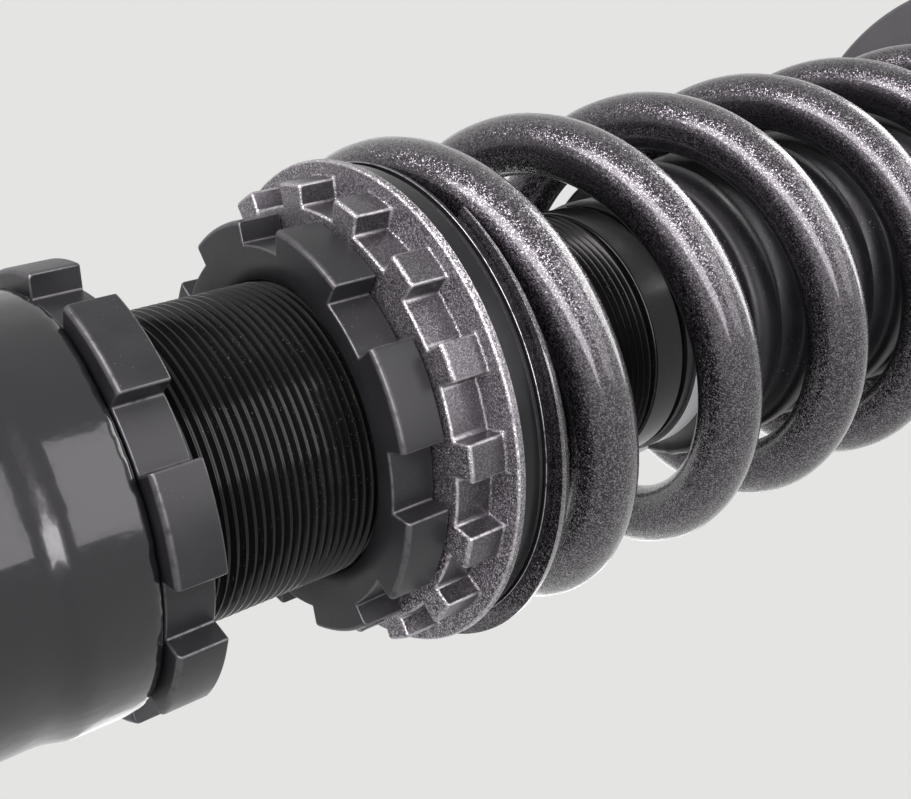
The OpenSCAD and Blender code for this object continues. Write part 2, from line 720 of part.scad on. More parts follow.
// Rebound adjuster knob with grip flutes, over the end of the metering rod
module rebound_knob() {
    top = knob_z + knob_h;
    color("#a31621") difference() {
        rotate_extrude() polygon([[0, knob_z], [8.2, knob_z], [9, knob_z + 0.8], [9, top - 1],
            [8, top], [0, top]]);
        for (k = [0 : 17]) rotate(20 * k) translate([9.5, 0, knob_z - cut])
            cylinder(r = 0.9, h = knob_h + 2 * cut, $fn = 24);
        translate([0, 0, knob_z - cut]) cylinder(r = needle_r - run_gap, h = knob_h - 4 + cut);
    }
}

module metering_rod() {
    top = knob_z + knob_h - 4;
    r = needle_r - run_gap;
    color("#c9c9cd") rotate_extrude($fn = 48) polygon([[0, needle_low_z + 4], [0.8, needle_low_z + 4],
        [r, needle_low_z + 12], [r, top], [0, top]]);
}

lower_bracket();
bracket_eye();
bush_shell();
bush_rubber();
bush_sleeve();
bracket_lock_ring();
damper_tube();
base_cap();
base_o_ring();
gas_valve();
floating_piston();
floating_piston_seal();
rod_guide();
guide_o_ring();
rod_bush();
rod_seal();
gland_nut();
wiper_seal();
perch_lock_ring();
spring_perch();
lower_race();
needle_cage();
needle_rollers();
upper_race();
bearing_seal();
main_spring();
piston_rod();
piston();
piston_band();
compression_shims();
rebound_shims();
piston_nut();
stop_ring();
top_out_bumper();
bump_stop();
bump_cup();
dust_boot();
boot_clamp();
upper_seat();
ball_spacer();
bearing_ball();
bearing_race();
retaining_ring();
top_plate();
mount_studs();
rod_washer();
rod_nut();
metering_rod();
rebound_knob();
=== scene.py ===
# A height-adjustable coilover, dressed in the order in which it is put together: lower bracket,
# threaded body, lock rings, spring perch and bearing, spring, boot, rod and upper mount.
import math

import bmesh
import bpy
from mathutils import Matrix, Vector, noise


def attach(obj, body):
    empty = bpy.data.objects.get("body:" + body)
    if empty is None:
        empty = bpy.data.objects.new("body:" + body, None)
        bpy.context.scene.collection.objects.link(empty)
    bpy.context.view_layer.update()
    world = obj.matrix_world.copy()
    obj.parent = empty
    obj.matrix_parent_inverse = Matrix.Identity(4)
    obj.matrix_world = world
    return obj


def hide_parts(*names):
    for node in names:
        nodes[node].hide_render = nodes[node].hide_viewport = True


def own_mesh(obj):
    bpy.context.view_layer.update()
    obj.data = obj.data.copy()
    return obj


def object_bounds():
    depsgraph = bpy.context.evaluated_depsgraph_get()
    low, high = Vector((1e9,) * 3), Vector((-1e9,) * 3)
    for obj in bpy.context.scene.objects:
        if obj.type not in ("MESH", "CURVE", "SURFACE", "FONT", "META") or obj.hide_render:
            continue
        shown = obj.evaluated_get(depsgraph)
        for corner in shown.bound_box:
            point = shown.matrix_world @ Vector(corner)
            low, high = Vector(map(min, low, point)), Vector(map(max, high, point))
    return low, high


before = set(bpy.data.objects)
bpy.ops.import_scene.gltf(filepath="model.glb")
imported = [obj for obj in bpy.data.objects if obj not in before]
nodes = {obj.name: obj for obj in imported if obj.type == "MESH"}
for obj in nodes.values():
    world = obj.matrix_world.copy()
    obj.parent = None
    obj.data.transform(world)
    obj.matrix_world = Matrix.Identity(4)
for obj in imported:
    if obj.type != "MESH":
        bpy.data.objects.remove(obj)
cad_low, cad_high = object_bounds()
scene = bpy.context.scene
MM = 0.001

# ---------- Camera ----------
# It stands beside the lower bracket and looks up along the strut from below the perch,
# rolled so that the strut's -X side is up in the picture.
camera_right = Vector((0.20748, -0.60449, 0.76912))
camera_up = Vector((-0.96549, 0.0, 0.26045))
camera_back = camera_right.cross(camera_up)
camera_data = bpy.data.cameras.new("camera")
camera_data.sensor_width = 36
camera_data.lens = 51.33
camera_data.clip_start = 0.01
camera = bpy.data.objects.new("camera", camera_data)
scene.collection.objects.link(camera)
camera.matrix_world = (Matrix.Translation(Vector((-32.73, -188.13, 68.93)) * MM)
                       @ Matrix((camera_right, camera_up, camera_back)).transposed().to_4x4())
scene.camera = camera
scene.view_settings.view_transform = "Standard"

# ---------- Studio ----------
# A pale floor under the eye of the bracket, a pale room that the camera, gloss and glass see,
# and a dimmer light from all round for the rest. Four soft boxes do the shaping, and the long
# low one lies just over the floor, where it draws the bright band along the coils.
bpy.ops.object.select_all(action="DESELECT")
bpy.ops.mesh.primitive_plane_add(size=6, location=(0, 0, cad_low.z - 0.5 * MM))
floor = bpy.context.object
floor.name = floor.data.name = "floor"
bpy.ops.object.transform_apply(location=True, rotation=False, scale=False)
ROOM_COLOUR = (0.78, 0.775, 0.77, 1)


def add_node(tree, kind, sockets=None, **settings):
    """Adds a shader node, each of whose sockets takes a value or another node's output."""
    made = tree.nodes.new("ShaderNode" + kind)
    for setting, value in settings.items():
        setattr(made, setting, value)
    for socket, value in (sockets or {}).items():
        if isinstance(value, bpy.types.NodeSocket):
            tree.links.new(value, made.inputs[socket])
        else:
            made.inputs[socket].default_value = value
    return made


def maths(tree, operation, first, second=0.0):
    """What one arithmetic node makes of two numbers."""
    return add_node(tree, "Math", {0: first, 1: second}, operation=operation).outputs[0]


def mix_colour(tree, share, first, second):
    """A share of the second colour over the first."""
    mix = add_node(tree, "Mix", {"Factor": share, 6: first, 7: second}, data_type="RGBA")
    return mix.outputs[2]


def stretch(tree, value, low=0.0, high=1.0, new_low=0.0, new_high=1.0, **settings):
    """Stretches one range of values over another, and holds what lies outside at its ends."""
    return add_node(tree, "MapRange", {
        "Value": value, "From Min": low, "From Max": high, "To Min": new_low, "To Max": new_high},
        **settings).outputs["Result"]


def mottle(tree, place, scale, detail):
    """An uneven cloudiness between 0 and 1."""
    made = add_node(tree, "TexNoise", {"Vector": place, "Scale": scale, "Detail": detail})
    return made.outputs["Fac"]


def place_on_piece(tree):
    """The place on a piece in its own coordinates, in metres."""
    return add_node(tree, "TexCoord").outputs["Object"]


def is_seen(tree):
    """1 for the rays by which the camera, gloss or glass sees a thing, and 0 for the rest."""
    ray = add_node(tree, "LightPath").outputs
    either = maths(tree, "MAXIMUM", ray["Is Camera Ray"], ray["Is Glossy Ray"])
    return maths(tree, "MAXIMUM", either, ray["Is Transmission Ray"])


room = bpy.data.worlds.new("room")
scene.world = room
room.use_nodes = True
room.node_tree.nodes.clear()
seen = add_node(room.node_tree, "Background", {"Color": ROOM_COLOUR, "Strength": 1.0})
ambient = add_node(room.node_tree, "Background", {"Color": (0.96, 0.96, 1.0, 1), "Strength": 0.32})
choose = add_node(room.node_tree, "MixShader", {0: is_seen(room.node_tree), 1: ambient.outputs[0],
                                                2: seen.outputs[0]})
add_node(room.node_tree, "OutputWorld", {"Surface": choose.outputs[0]})

floor_paint = bpy.data.materials.new("floor_paint")
floor_paint.use_nodes = True
tree = floor_paint.node_tree
tree.nodes.clear()
place = place_on_piece(tree)
paint = mix_colour(tree, mottle(tree, place, 40.0, 3), (0.64, 0.635, 0.63, 1),
                   (0.68, 0.675, 0.67, 1))
near = add_node(tree, "BsdfPrincipled", {"Base Color": paint, "Roughness": 0.8})
far = add_node(tree, "Emission", {"Color": ROOM_COLOUR})
reach = add_node(tree, "VectorMath", {0: place}, operation="LENGTH").outputs["Value"]
fade = stretch(tree, reach, 0.25, 1.1, interpolation_type="SMOOTHSTEP")
share = maths(tree, "MULTIPLY", fade, is_seen(tree))
meet = add_node(tree, "MixShader", {0: share, 1: near.outputs[0], 2: far.outputs[0]})
add_node(tree, "OutputMaterial", {"Surface": meet.outputs[0]})
floor.data.materials.append(floor_paint)


def soft_box(name, place, aim, width, height, power, colour):
    """A rectangular lamp at a place, facing the aim, all in metres and watts."""
    lamp = bpy.data.lights.new(name, "AREA")
    lamp.shape = "RECTANGLE"
    lamp.size = width
    lamp.size_y = height
    lamp.energy = power
    lamp.color = colour
    holder = bpy.data.objects.new(name, lamp)
    scene.collection.objects.link(holder)
    holder.location = place
    holder.rotation_euler = (Vector(aim) - Vector(place)).to_track_quat("-Z", "Y").to_euler()


LOW_BOX = Vector((-0.09, -0.33, -0.018))
soft_box("front_box", (-0.22, -1.02, 0.58), (0, 0, 0.15), width=1.00, height=0.60, power=5.0,
         colour=(1.0, 0.965, 1.0))
soft_box("low_box", LOW_BOX, LOW_BOX + Vector((0.00008, 0.00006, 0.518)), width=0.78, height=0.20,
         power=4.2, colour=(1.0, 0.955, 1.0))
soft_box("top_box", (-0.35, -0.25, 1.35), (0, 0, 0.10), width=0.90, height=0.90, power=13,
         colour=(1.0, 0.99, 0.98))
soft_box("rim_box", (0.60, 0.90, 0.75), (0, 0, 0.25), width=0.50, height=0.70, power=0.9,
         colour=(1.0, 1.0, 1.0))

# ---------- Lower bracket ----------
# A casting with a socket for the threaded body and a necked, ribbed shank below it. It is
# painted gloss black over the cast skin, and only its socket and drain hole are machined.
MERGE = 0.000002


def take(piece):
    """Makes one piece the only one that is selected, and active."""
    bpy.ops.object.select_all(action="DESELECT")
    piece.select_set(True)
    bpy.context.view_layer.objects.active = piece


def half_section(name, outline):
    """Draws the edges from point to point of (radius, place) in mm, and stays in edit mode."""
    points = [Vector((r, 0, z)) * MM for r, z in outline]
    bpy.ops.object.select_all(action="DESELECT")
    bpy.ops.mesh.primitive_plane_add(size=MM)
    piece = bpy.context.object
    piece.name = piece.data.name = name
    bpy.ops.object.mode_set(mode="EDIT")
    bpy.ops.mesh.select_all(action="SELECT")
    bpy.ops.mesh.merge(type="CENTER")
    bpy.ops.transform.translate(value=points[0])
    for start, end in zip(points, points[1:]):
        bpy.ops.mesh.extrude_region_move(TRANSFORM_OT_translate={"value": end - start})
    return piece


def turned(name, outline, steps=128, axis="Z"):
    """A turned piece: a closed outline of (radius, place) in mm, spun round Z or Y."""
    piece = half_section(name, outline + outline[:1])
    bpy.ops.mesh.select_all(action="SELECT")
    bpy.ops.mesh.remove_doubles(threshold=MERGE)
    bpy.ops.mesh.spin(steps=steps, angle=math.tau, center=(0, 0, 0), axis=(0, 0, 1))
    bpy.ops.mesh.select_all(action="SELECT")
    bpy.ops.mesh.remove_doubles(threshold=MERGE)
    bpy.ops.mesh.normals_make_consistent(inside=False)
    bpy.ops.object.mode_set(mode="OBJECT")
    if axis == "Y":
        piece.rotation_euler = (math.pi / 2, 0, 0)
        bpy.ops.object.transform_apply(location=False, rotation=True, scale=False)
    return piece


def bar(name, radius, low, high, axis="Z", sides=64, at=(0, 0)):
    """A round bar along Z, Y or X between two places on that axis, in mm."""
    middle = (high + low) / 2
    turn = {"Z": (0, 0, 0), "Y": (math.pi / 2, 0, 0), "X": (0, math.pi / 2, 0)}[axis]
    place = {"Z": (*at, middle), "Y": (at[0], middle, at[1]), "X": (middle, *at)}[axis]
    bpy.ops.object.select_all(action="DESELECT")
    bpy.ops.mesh.primitive_cylinder_add(vertices=sides, radius=radius * MM, depth=(high - low) * MM,
                                        location=Vector(place) * MM, rotation=turn)
    piece = bpy.context.object
    piece.name = piece.data.name = name
    bpy.ops.object.transform_apply(location=True, rotation=True, scale=True)
    return piece


def block(name, size, place, lean=0):
    """A block of a size at a place in mm, leaning about Y by an angle."""
    bpy.ops.object.select_all(action="DESELECT")
    bpy.ops.mesh.primitive_cube_add(size=MM)
    piece = bpy.context.object
    piece.name = name
    piece.scale = size
    piece.rotation_euler = (0, lean, 0)
    piece.location = Vector(place) * MM
    bpy.ops.object.transform_apply(location=True, rotation=True, scale=True)
    return piece


def combine(piece, tool, operation):
    """Adds the tool to the piece, cuts it away or keeps what both share, and removes the tool."""
    step = piece.modifiers.new("combine", "BOOLEAN")
    step.operation = operation
    step.object = tool
    step.solver = "MANIFOLD"
    take(piece)
    bpy.ops.object.modifier_apply(modifier=step.name)
    bpy.data.objects.remove(tool)


def drill(piece, radius, low, high, **where):
    """Cuts a round hole into a piece between two places on an axis, in mm."""
    combine(piece, bar("drill", radius, low, high, **where), "DIFFERENCE")


def cast_skin(piece, voxel, passes, ripple):
    """Melts a piece's joints and corners as a sand mould does, and leaves a faint waviness."""
    melt = piece.modifiers.new("melt", "REMESH")
    melt.mode = "VOXEL"
    melt.voxel_size = voxel * MM
    draft = piece.modifiers.new("draft", "SMOOTH")
    draft.factor = 0.5
    draft.iterations = passes
    take(piece)
    bpy.ops.object.modifier_apply(modifier="melt")
    bpy.ops.object.modifier_apply(modifier="draft")
    ways = [point.normal.copy() for point in piece.data.vertices]
    for point, way in zip(piece.data.vertices, ways):
        swell = noise.noise(point.co * 80) + 0.2 * noise.noise(point.co * 240)
        point.co += way * swell * ripple * MM


def new_group(name, inputs, outputs):
    """An empty shader node group with named sockets, and its input and output nodes."""
    group = bpy.data.node_groups.new(name, "ShaderNodeTree")
    for socket, kind, value in inputs:
        entry = group.interface.new_socket(socket, in_out="INPUT", socket_type="NodeSocket" + kind)
        if value is not None:
            entry.default_value = value
    for socket, kind in outputs:
        group.interface.new_socket(socket, in_out="OUTPUT", socket_type="NodeSocket" + kind)
    given = group.nodes.new("NodeGroupInput").outputs
    made = group.nodes.new("NodeGroupOutput").inputs
    return group, given, made


def grain_group():
    """Mottled colour and roughness with a fine skin, as paint, rubber or metal shows close up."""
    group, given, made = new_group(
        "grain",
        [("Scale", "Float", 500), ("Dark", "Color", (0, 0, 0, 1)), ("Light", "Color", (1, 1, 1, 1)),
         ("Smooth", "Float", 0.3), ("Rough", "Float", 0.5), ("Depth", "Float", 0.00002)],
        [("Colour", "Color"), ("Roughness", "Float"), ("Normal", "Vector")])
    place = place_on_piece(group)
    wide = maths(group, "MULTIPLY", given["Scale"], 0.12)
    cloud = mottle(group, place, wide, 5)
    fine = mottle(group, place, given["Scale"], 2)
    bump = add_node(group, "Bump", {"Height": fine, "Distance": given["Depth"]})
    group.links.new(mix_colour(group, cloud, given["Dark"], given["Light"]), made["Colour"])
    group.links.new(stretch(group, cloud, 0.3, 0.7, given["Smooth"], given["Rough"]),
                    made["Roughness"])
    group.links.new(bump.outputs["Normal"], made["Normal"])
    return group


GRAIN = grain_group()


def new_material(name, **even):
    """A material whose even values are set on the shader's own sockets."""
    material = bpy.data.materials.new(name)
    material.use_nodes = True
    shader = material.node_tree.nodes["Principled BSDF"]
    for socket, value in even.items():
        shader.inputs[socket.replace("_", " ")].default_value = value
    return material, material.node_tree, shader


def place_group(tree, group, **values):
    """Places a node group in a material, with its own values or links."""
    placed = tree.nodes.new("ShaderNodeGroup")
    placed.node_tree = group
    for socket, value in values.items():
        if isinstance(value, bpy.types.NodeSocket):
            tree.links.new(value, placed.inputs[socket])
        else:
            placed.inputs[socket].default_value = value
    return placed.outputs


def grained(name, dark, light, smooth, rough, scale=500, depth=0.00002, **even):
    """A material whose colour, roughness and skin all come from the grain."""
    material, tree, shader = new_material(name, **even)
    skin = place_group(tree, GRAIN, Scale=scale, Dark=dark + (1,), Light=light + (1,),
                       Smooth=smooth, Rough=rough, Depth=depth)
    tree.links.new(skin["Colour"], shader.inputs["Base Color"])
    tree.links.new(skin["Roughness"], shader.inputs["Roughness"])
    tree.links.new(skin["Normal"], shader.inputs["Normal"])
    return material


def wear(piece, material, slot, body, *stands_for):
    """Gives a new piece its material, its body and the nodes it stands for. The slot is not used.
    """
    piece.data.materials.clear()
    piece.data.materials.append(material)
    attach(piece, body)
    if stands_for:
        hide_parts(*stands_for)


EYE_JOINT = 26
SOCKET_RIM = 131.9
BODY_R = 25.0
bracket = turned("bracket_casting", [
    (0, EYE_JOINT), (17, EYE_JOINT), (21.5, 40), (28, 53), (31.5, 62), (31.5, 117.5),
    (32.7, 121), (32.7, SOCKET_RIM), (0, SOCKET_RIM)], 96)
for side in (-1, 1):
    rib = block("rib", (16, 7, 32), (side * 17.5, 0, 42.5), side * math.radians(10))
    combine(bracket, rib, "UNION")
cast_skin(bracket, voxel=0.9, passes=9, ripple=0.20)
drill(bracket, BODY_R + 0.05, 48, 140, sides=128)
drill(bracket, 2, -40, 40, axis="X", sides=32, at=(0, 52))
bpy.ops.object.shade_smooth_by_angle(angle=math.radians(40))
gloss_casting = grained("gloss_casting", (0.004, 0.004, 0.005), (0.012, 0.011, 0.013), 0.11, 0.20,
                        scale=420, depth=0.00006, Coat_Weight=0.5, Coat_Roughness=0.05,
                        Specular_IOR_Level=0.4)
wear(bracket, gloss_casting, "cast_black", "bracket", "lower_bracket")

# ---------- Lower eye and bush ----------
# The eye is a forging welded under the casting. A rubber bush bonded between a plated shell
# and a plated bolt sleeve is pressed into it, and the rubber stands out a little at both ends.
eye = bar("eye_forging", 23, -17, 17, axis="Y", sides=96)
combine(eye, turned("eye_neck", [
    (0, 10), (15, 10), (17, EYE_JOINT), (0, EYE_JOINT)], 64), "UNION")
cast_skin(eye, voxel=0.8, passes=6, ripple=0.08)
drill(eye, 16, -20, 20, axis="Y", sides=96)
bpy.ops.object.shade_smooth_by_angle(angle=math.radians(40))
wear(eye, gloss_casting, "cast_black", "bracket", "bracket_eye")

BEAD_R = 17.2
BEAD_Z = EYE_JOINT - 0.6


def round_ring(name, ring_r, wire_r, height, steps):
    """A ring of round section that lies flat at a height, in mm."""
    bpy.ops.object.select_all(action="DESELECT")
    bpy.ops.mesh.primitive_torus_add(
        major_segments=steps, minor_segments=16, major_radius=ring_r * MM,
        minor_radius=wire_r * MM, location=(0, 0, height * MM))
    piece = bpy.context.object
    piece.name = piece.data.name = name
    bpy.ops.object.transform_apply(location=True, rotation=False, scale=False)
    return piece


bead = round_ring("weld_bead", BEAD_R, 2.3, BEAD_Z, 240)
for point in bead.data.vertices:
    turn = math.atan2(point.co.y, point.co.x)
    core = Vector((math.cos(turn) * BEAD_R, math.sin(turn) * BEAD_R, BEAD_Z)) * MM
    scallop = 1 - 0.22 * abs(math.sin(turn * 17 + 0.5 * noise.noise(core * 300)))
    point.co = core + (point.co - core) * scallop
bpy.ops.object.shade_smooth()
wear(bead, gloss_casting, "cast_black", "bracket")

zinc = grained("bright_zinc", (0.42, 0.42, 0.44), (0.62, 0.62, 0.64), 0.28, 0.42, scale=700,
               depth=0.00001, Metallic=1.0)
rubber = grained("bush_rubber", (0.008, 0.008, 0.008), (0.028, 0.027, 0.026), 0.55, 0.75, scale=900,
                 depth=0.00006)


def round_edges(piece, width, segments=3, angle=30):
    """Rounds every edge sharper than the angle to a width in mm, and keeps the flats flat.

    The points in the middle of each rounded outer edge are marked, for materials that wear there
    and carry a painted highlight there.
    """
    bevel = piece.modifiers.new("round", "BEVEL")
    bevel.width = width * MM
    bevel.segments = segments
    bevel.limit_method = "ANGLE"
    bevel.angle_limit = math.radians(angle)
    flats = piece.modifiers.new("flats", "WEIGHTED_NORMAL")
    flats.weight = 100
    take(piece)
    bpy.ops.object.shade_smooth()
    bpy.ops.object.modifier_apply(modifier="round")
    bpy.ops.object.modifier_apply(modifier="flats")
    shape = bmesh.new()
    shape.from_mesh(piece.data)
    marked = []
    for point in shape.verts:
        turn = max(math.degrees(edge.calc_face_angle_signed(0)) for edge in point.link_edges)
        beside_flat = any(2 * face.calc_area() > 0.9 * width * MM * face.calc_perimeter()
                          for face in point.link_faces)
        marked.append(0 if beside_flat else min(max((turn - 17) / 8, 0), 1))
    shape.free()
    marks = piece.data.attributes.new("rounded", "FLOAT", "POINT")
    marks.data.foreach_set("value", marked)


shell = turned("bush_shell_ring", [(14.4, -17.5), (16, -17.5), (16, 17.5), (14.4, 17.5)], 96, "Y")
round_edges(shell, 0.4)
wear(shell, zinc, "plated_steel", "bracket", "bush_shell")
bush = turned("bush_rubber_ring", [
    (9.05, -18.5), (11.2, -18.5), (12.2, -17.6), (13.2, -15.6), (14.4, -15.4), (14.4, 15.4),
    (13.2, 15.6), (12.2, 17.6), (11.2, 18.5), (9.05, 18.5)], 96, "Y")
round_edges(bush, 0.5)
wear(bush, rubber, "rubber", "bracket", "bush_rubber")
sleeve = turned("bush_bolt_sleeve", [(6.05, -20), (9, -20), (9, 20), (6.05, 20)], 96, "Y")
round_edges(sleeve, 0.5)
wear(sleeve, zinc, "plated_steel", "sleeve", "bush_sleeve")

# ---------- Threaded body ----------
# A tube with a 1.5 mm thread from the bracket to its top end, hard anodised gloss black.
# It screws into the bracket's socket, and both lock rings and the perch run on it.
PITCH = 1.5
BODY_LOW = 66
BODY_TOP = 234
THREAD_LOW = 118


def thread(name, radius, depth, pitch, low, high, steps):
    """A threaded bar in mm: one pitch of the flank is screwed up the axis, both ends are closed,
    and the bar is then cut to its ends, with a chamfer at the upper one."""
    root = radius - depth
    rise = pitch / 15
    outline = [(root, 0), (root, 2.8 * rise), (radius - 0.1 * depth, 7.4 * rise),
               (radius, 8.2 * rise), (radius, 9.8 * rise), (radius - 0.1 * depth, 10.6 * rise),
               (root, pitch)]
    piece = half_section(name, [(r, low - 2 * pitch + z) for r, z in outline])
    bpy.ops.object.mode_set(mode="OBJECT")
    screw = piece.modifiers.new("screw", "SCREW")
    screw.screw_offset = pitch * MM
    screw.iterations = math.ceil((high - low) / pitch) + 4
    screw.steps = screw.render_steps = steps
    take(piece)
    bpy.ops.object.modifier_apply(modifier="screw")
    bpy.ops.object.mode_set(mode="EDIT")
    bpy.ops.mesh.select_all(action="SELECT")
    bpy.ops.mesh.remove_doubles(threshold=MERGE)
    middle = (low + high) / 2 * MM
    for upper in (True, False):
        bpy.ops.mesh.select_mode(type="EDGE")
        bpy.ops.mesh.select_all(action="DESELECT")
        mesh = bmesh.from_edit_mesh(piece.data)
        for edge in mesh.edges:
            edge.select_set(edge.is_boundary and (edge.verts[0].co.z > middle) == upper)
        bmesh.update_edit_mesh(piece.data)
        bpy.ops.mesh.extrude_edges_move()
        bpy.ops.mesh.merge(type="CENTER")
    bpy.ops.mesh.select_mode(type="VERT")
    bpy.ops.mesh.select_all(action="SELECT")
    bpy.ops.mesh.normals_make_consistent(inside=False)
    bpy.ops.object.mode_set(mode="OBJECT")
    combine(piece, turned("ends", [(0, low), (radius + 0.2, low), (radius + 0.2, high - 1.3),
                                   (radius - 1, high), (0, high)], steps), "INTERSECT")
    return piece


body = thread("threaded_body", BODY_R, 0.85, PITCH, THREAD_LOW, BODY_TOP, 96)
combine(body, bar("plain_end", BODY_R - 0.9, BODY_LOW, THREAD_LOW + 3, sides=96), "UNION")
drill(body, 20, BODY_LOW - 5, 222, sides=96)
drill(body, 22.5, 221, BODY_TOP + 5, sides=96)
bpy.ops.object.shade_smooth_by_angle(angle=math.radians(35))


def dust_group():
    """Sparse pale specks of dust, of uneven size, as a mask."""
    group, given, made = new_group("dust", [("Scale", "Float", 900), ("Share", "Float", 0.1)],
                                   [("Mask", "Float")])
    place = place_on_piece(group)
    cells = add_node(group, "TexVoronoi", {"Vector": place, "Scale": given["Scale"]})
    split = add_node(group, "SeparateColor", {"Color": cells.outputs["Color"]})
    size = maths(group, "MULTIPLY", split.outputs["Red"], given["Share"])
    speck = maths(group, "LESS_THAN", cells.outputs["Distance"], size)
    patch = stretch(group, mottle(group, place, 60.0, 2), 0.45, 0.62)
    group.links.new(maths(group, "MULTIPLY", speck, patch), made["Mask"])
    return group


DUST = dust_group()


def overlay(material, mask, colour):
    """Lays a colour over a material's own base colour where a mask says so."""
    tree = material.node_tree
    base = tree.nodes["Principled BSDF"].inputs["Base Color"]
    tree.links.new(mix_colour(tree, mask, base.links[0].from_socket, colour + (1,)), base)


def dusty(material, scale, share):
    """Strews dust specks over a material."""
    specks = place_group(material.node_tree, DUST, Scale=scale, Share=share)
    overlay(material, specks["Mask"], (0.30, 0.29, 0.28))


gloss_thread = grained("gloss_thread", (0.002, 0.002, 0.002), (0.006, 0.0055, 0.005), 0.14, 0.26,
                       scale=600, depth=0.00001, Coat_Weight=0.1, Coat_Roughness=0.1,
                       Specular_IOR_Level=0.24)
dusty(gloss_thread, scale=2600, share=0.12)
wear(body, gloss_thread, "gloss_black", "damper", "damper_tube")

# ---------- Lock rings ----------
# Two turned rings with eight teeth each, satin black anodised. One jams against the bracket and
# one against the perch. Their edges are rounded, rubbed brighter than the faces and lit with a
# painted highlight.
RING_R = 35
RING_FLOOR_R = 31.15
RING_H = 7.8


def toothed(name, outline, count, tooth, gap, floor_r, tip_r, low, high, turn):
    """Spins an outline round, pulls its outer wall out over each tooth and turns it into place.

    tooth and gap are in steps of the spin, and the teeth stand between low and high in mm.
    """
    steps = count * (tooth + gap)
    piece = turned(name, outline, steps)
    bpy.ops.object.mode_set(mode="EDIT")
    bpy.ops.mesh.select_all(action="DESELECT")
    mesh = bmesh.from_edit_mesh(piece.data)

    def in_tooth(face):
        centre = face.calc_center_median()
        step = int(math.atan2(centre.y, centre.x) % math.tau / math.tau * steps)
        return step % (tooth + gap) < tooth

    for face in mesh.faces:
        centre = face.calc_center_median() / MM
        on_floor = floor_r - 0.5 < math.hypot(centre.x, centre.y) < floor_r + 0.1
        wall = abs(face.normal.z) < 0.2 and on_floor and low < centre.z < high
        if wall and in_tooth(face):
            face.select_set(True)
    bmesh.update_edit_mesh(piece.data)
    bpy.ops.mesh.extrude_region_move()
    bpy.ops.transform.resize(value=(tip_r / floor_r, tip_r / floor_r, 1), center_override=(0, 0, 0))
    mesh = bmesh.from_edit_mesh(piece.data)
    mesh.faces.ensure_lookup_table()
    buried = [face for face in mesh.faces if in_tooth(face) and all(
        abs(point.co.z / MM - high) < 0.01
        and floor_r - 0.1 < math.hypot(point.co.x, point.co.y) / MM < tip_r + 0.1
        for point in face.verts)]
    if any(point.co.z / MM > high + 0.1 for point in mesh.verts):
        bmesh.ops.delete(mesh, geom=buried, context="FACES_ONLY")
    bmesh.update_edit_mesh(piece.data)
    bpy.ops.mesh.select_all(action="SELECT")
    bpy.ops.mesh.remove_doubles(threshold=MERGE)
    bpy.ops.mesh.normals_make_consistent(inside=False)
    bpy.ops.object.mode_set(mode="OBJECT")
    piece.rotation_euler = (0, 0, math.radians(turn))
    bpy.ops.object.transform_apply(location=False, rotation=True, scale=False)
    return piece


def soften_rim(piece, radius, height, width):
    """Rounds the outer lower edges of the teeth, which lie at one radius and height in mm."""
    take(piece)
    bpy.ops.object.mode_set(mode="EDIT")
    bpy.ops.mesh.select_mode(type="EDGE")
    bpy.ops.mesh.select_all(action="DESELECT")
    mesh = bmesh.from_edit_mesh(piece.data)
    for edge in mesh.edges:
        edge.select_set(all(abs(math.hypot(point.co.x, point.co.y) / MM - radius) < 0.05
                            and abs(point.co.z / MM - height) < 0.01 for point in edge.verts))
    bmesh.update_edit_mesh(piece.data)
    bpy.ops.mesh.bevel(offset=width * MM, segments=4, affect="EDGES", clamp_overlap=False)
    bpy.ops.mesh.select_mode(type="VERT")
    bpy.ops.object.mode_set(mode="OBJECT")


def radius_and_height(tree):
    """How far a place on a piece is from the axis, and how high it is."""
    split = add_node(tree, "SeparateXYZ", {"Vector": place_on_piece(tree)}).outputs
    flat = add_node(tree, "CombineXYZ", {"X": split["X"], "Y": split["Y"]})
    radius = add_node(tree, "VectorMath", {0: flat.outputs[0]}, operation="LENGTH")
    return radius.outputs["Value"], split["Z"]


def turning_group():
    """Fine rings left by the lathe, round Z on flat faces and along Z on round ones."""
    group, given, made = new_group(
        "turning",
        [("Pitch", "Float", 6000), ("Depth", "Float", 0.000004), ("Normal", "Vector", None)],
        [("Normal", "Vector")])
    radius, height = radius_and_height(group)
    along = add_node(group, "CombineXYZ", {"X": maths(group, "ADD", radius, height)})
    marks = mottle(group, along.outputs[0], given["Pitch"], 3)
    bump = add_node(group, "Bump", {"Height": marks, "Distance": given["Depth"],
                                    "Normal": given["Normal"]})
    group.links.new(bump.outputs["Normal"], made["Normal"])
    return group


def rubbed_and_highlight_edge_group():
    """Where an edge is rubbed and carries a painted highlight: the marked edges, broken up by a
    noise, as a mask.
    """
    group, given, made = new_group("rubbed_and_highlight_edge", [("Share", "Float", 0.6)], [("Mask", "Float")])
    edge = add_node(group, "Attribute", attribute_name="rounded")
    # The noise is narrowed so that the edges read as long lines: partly rubbed metal, partly
    # painted highlight.
    broken = stretch(group, mottle(group, place_on_piece(group), 700.0, 4), 0.26, 0.5)
    rubbed_and_highlit = maths(group, "MULTIPLY", edge.outputs["Fac"], broken)
    group.links.new(maths(group, "MULTIPLY", rubbed_and_highlit, given["Share"]), made["Mask"])
    return group


TURNING = turning_group()
RUBBED_AND_HIGHLIT = rubbed_and_highlight_edge_group()


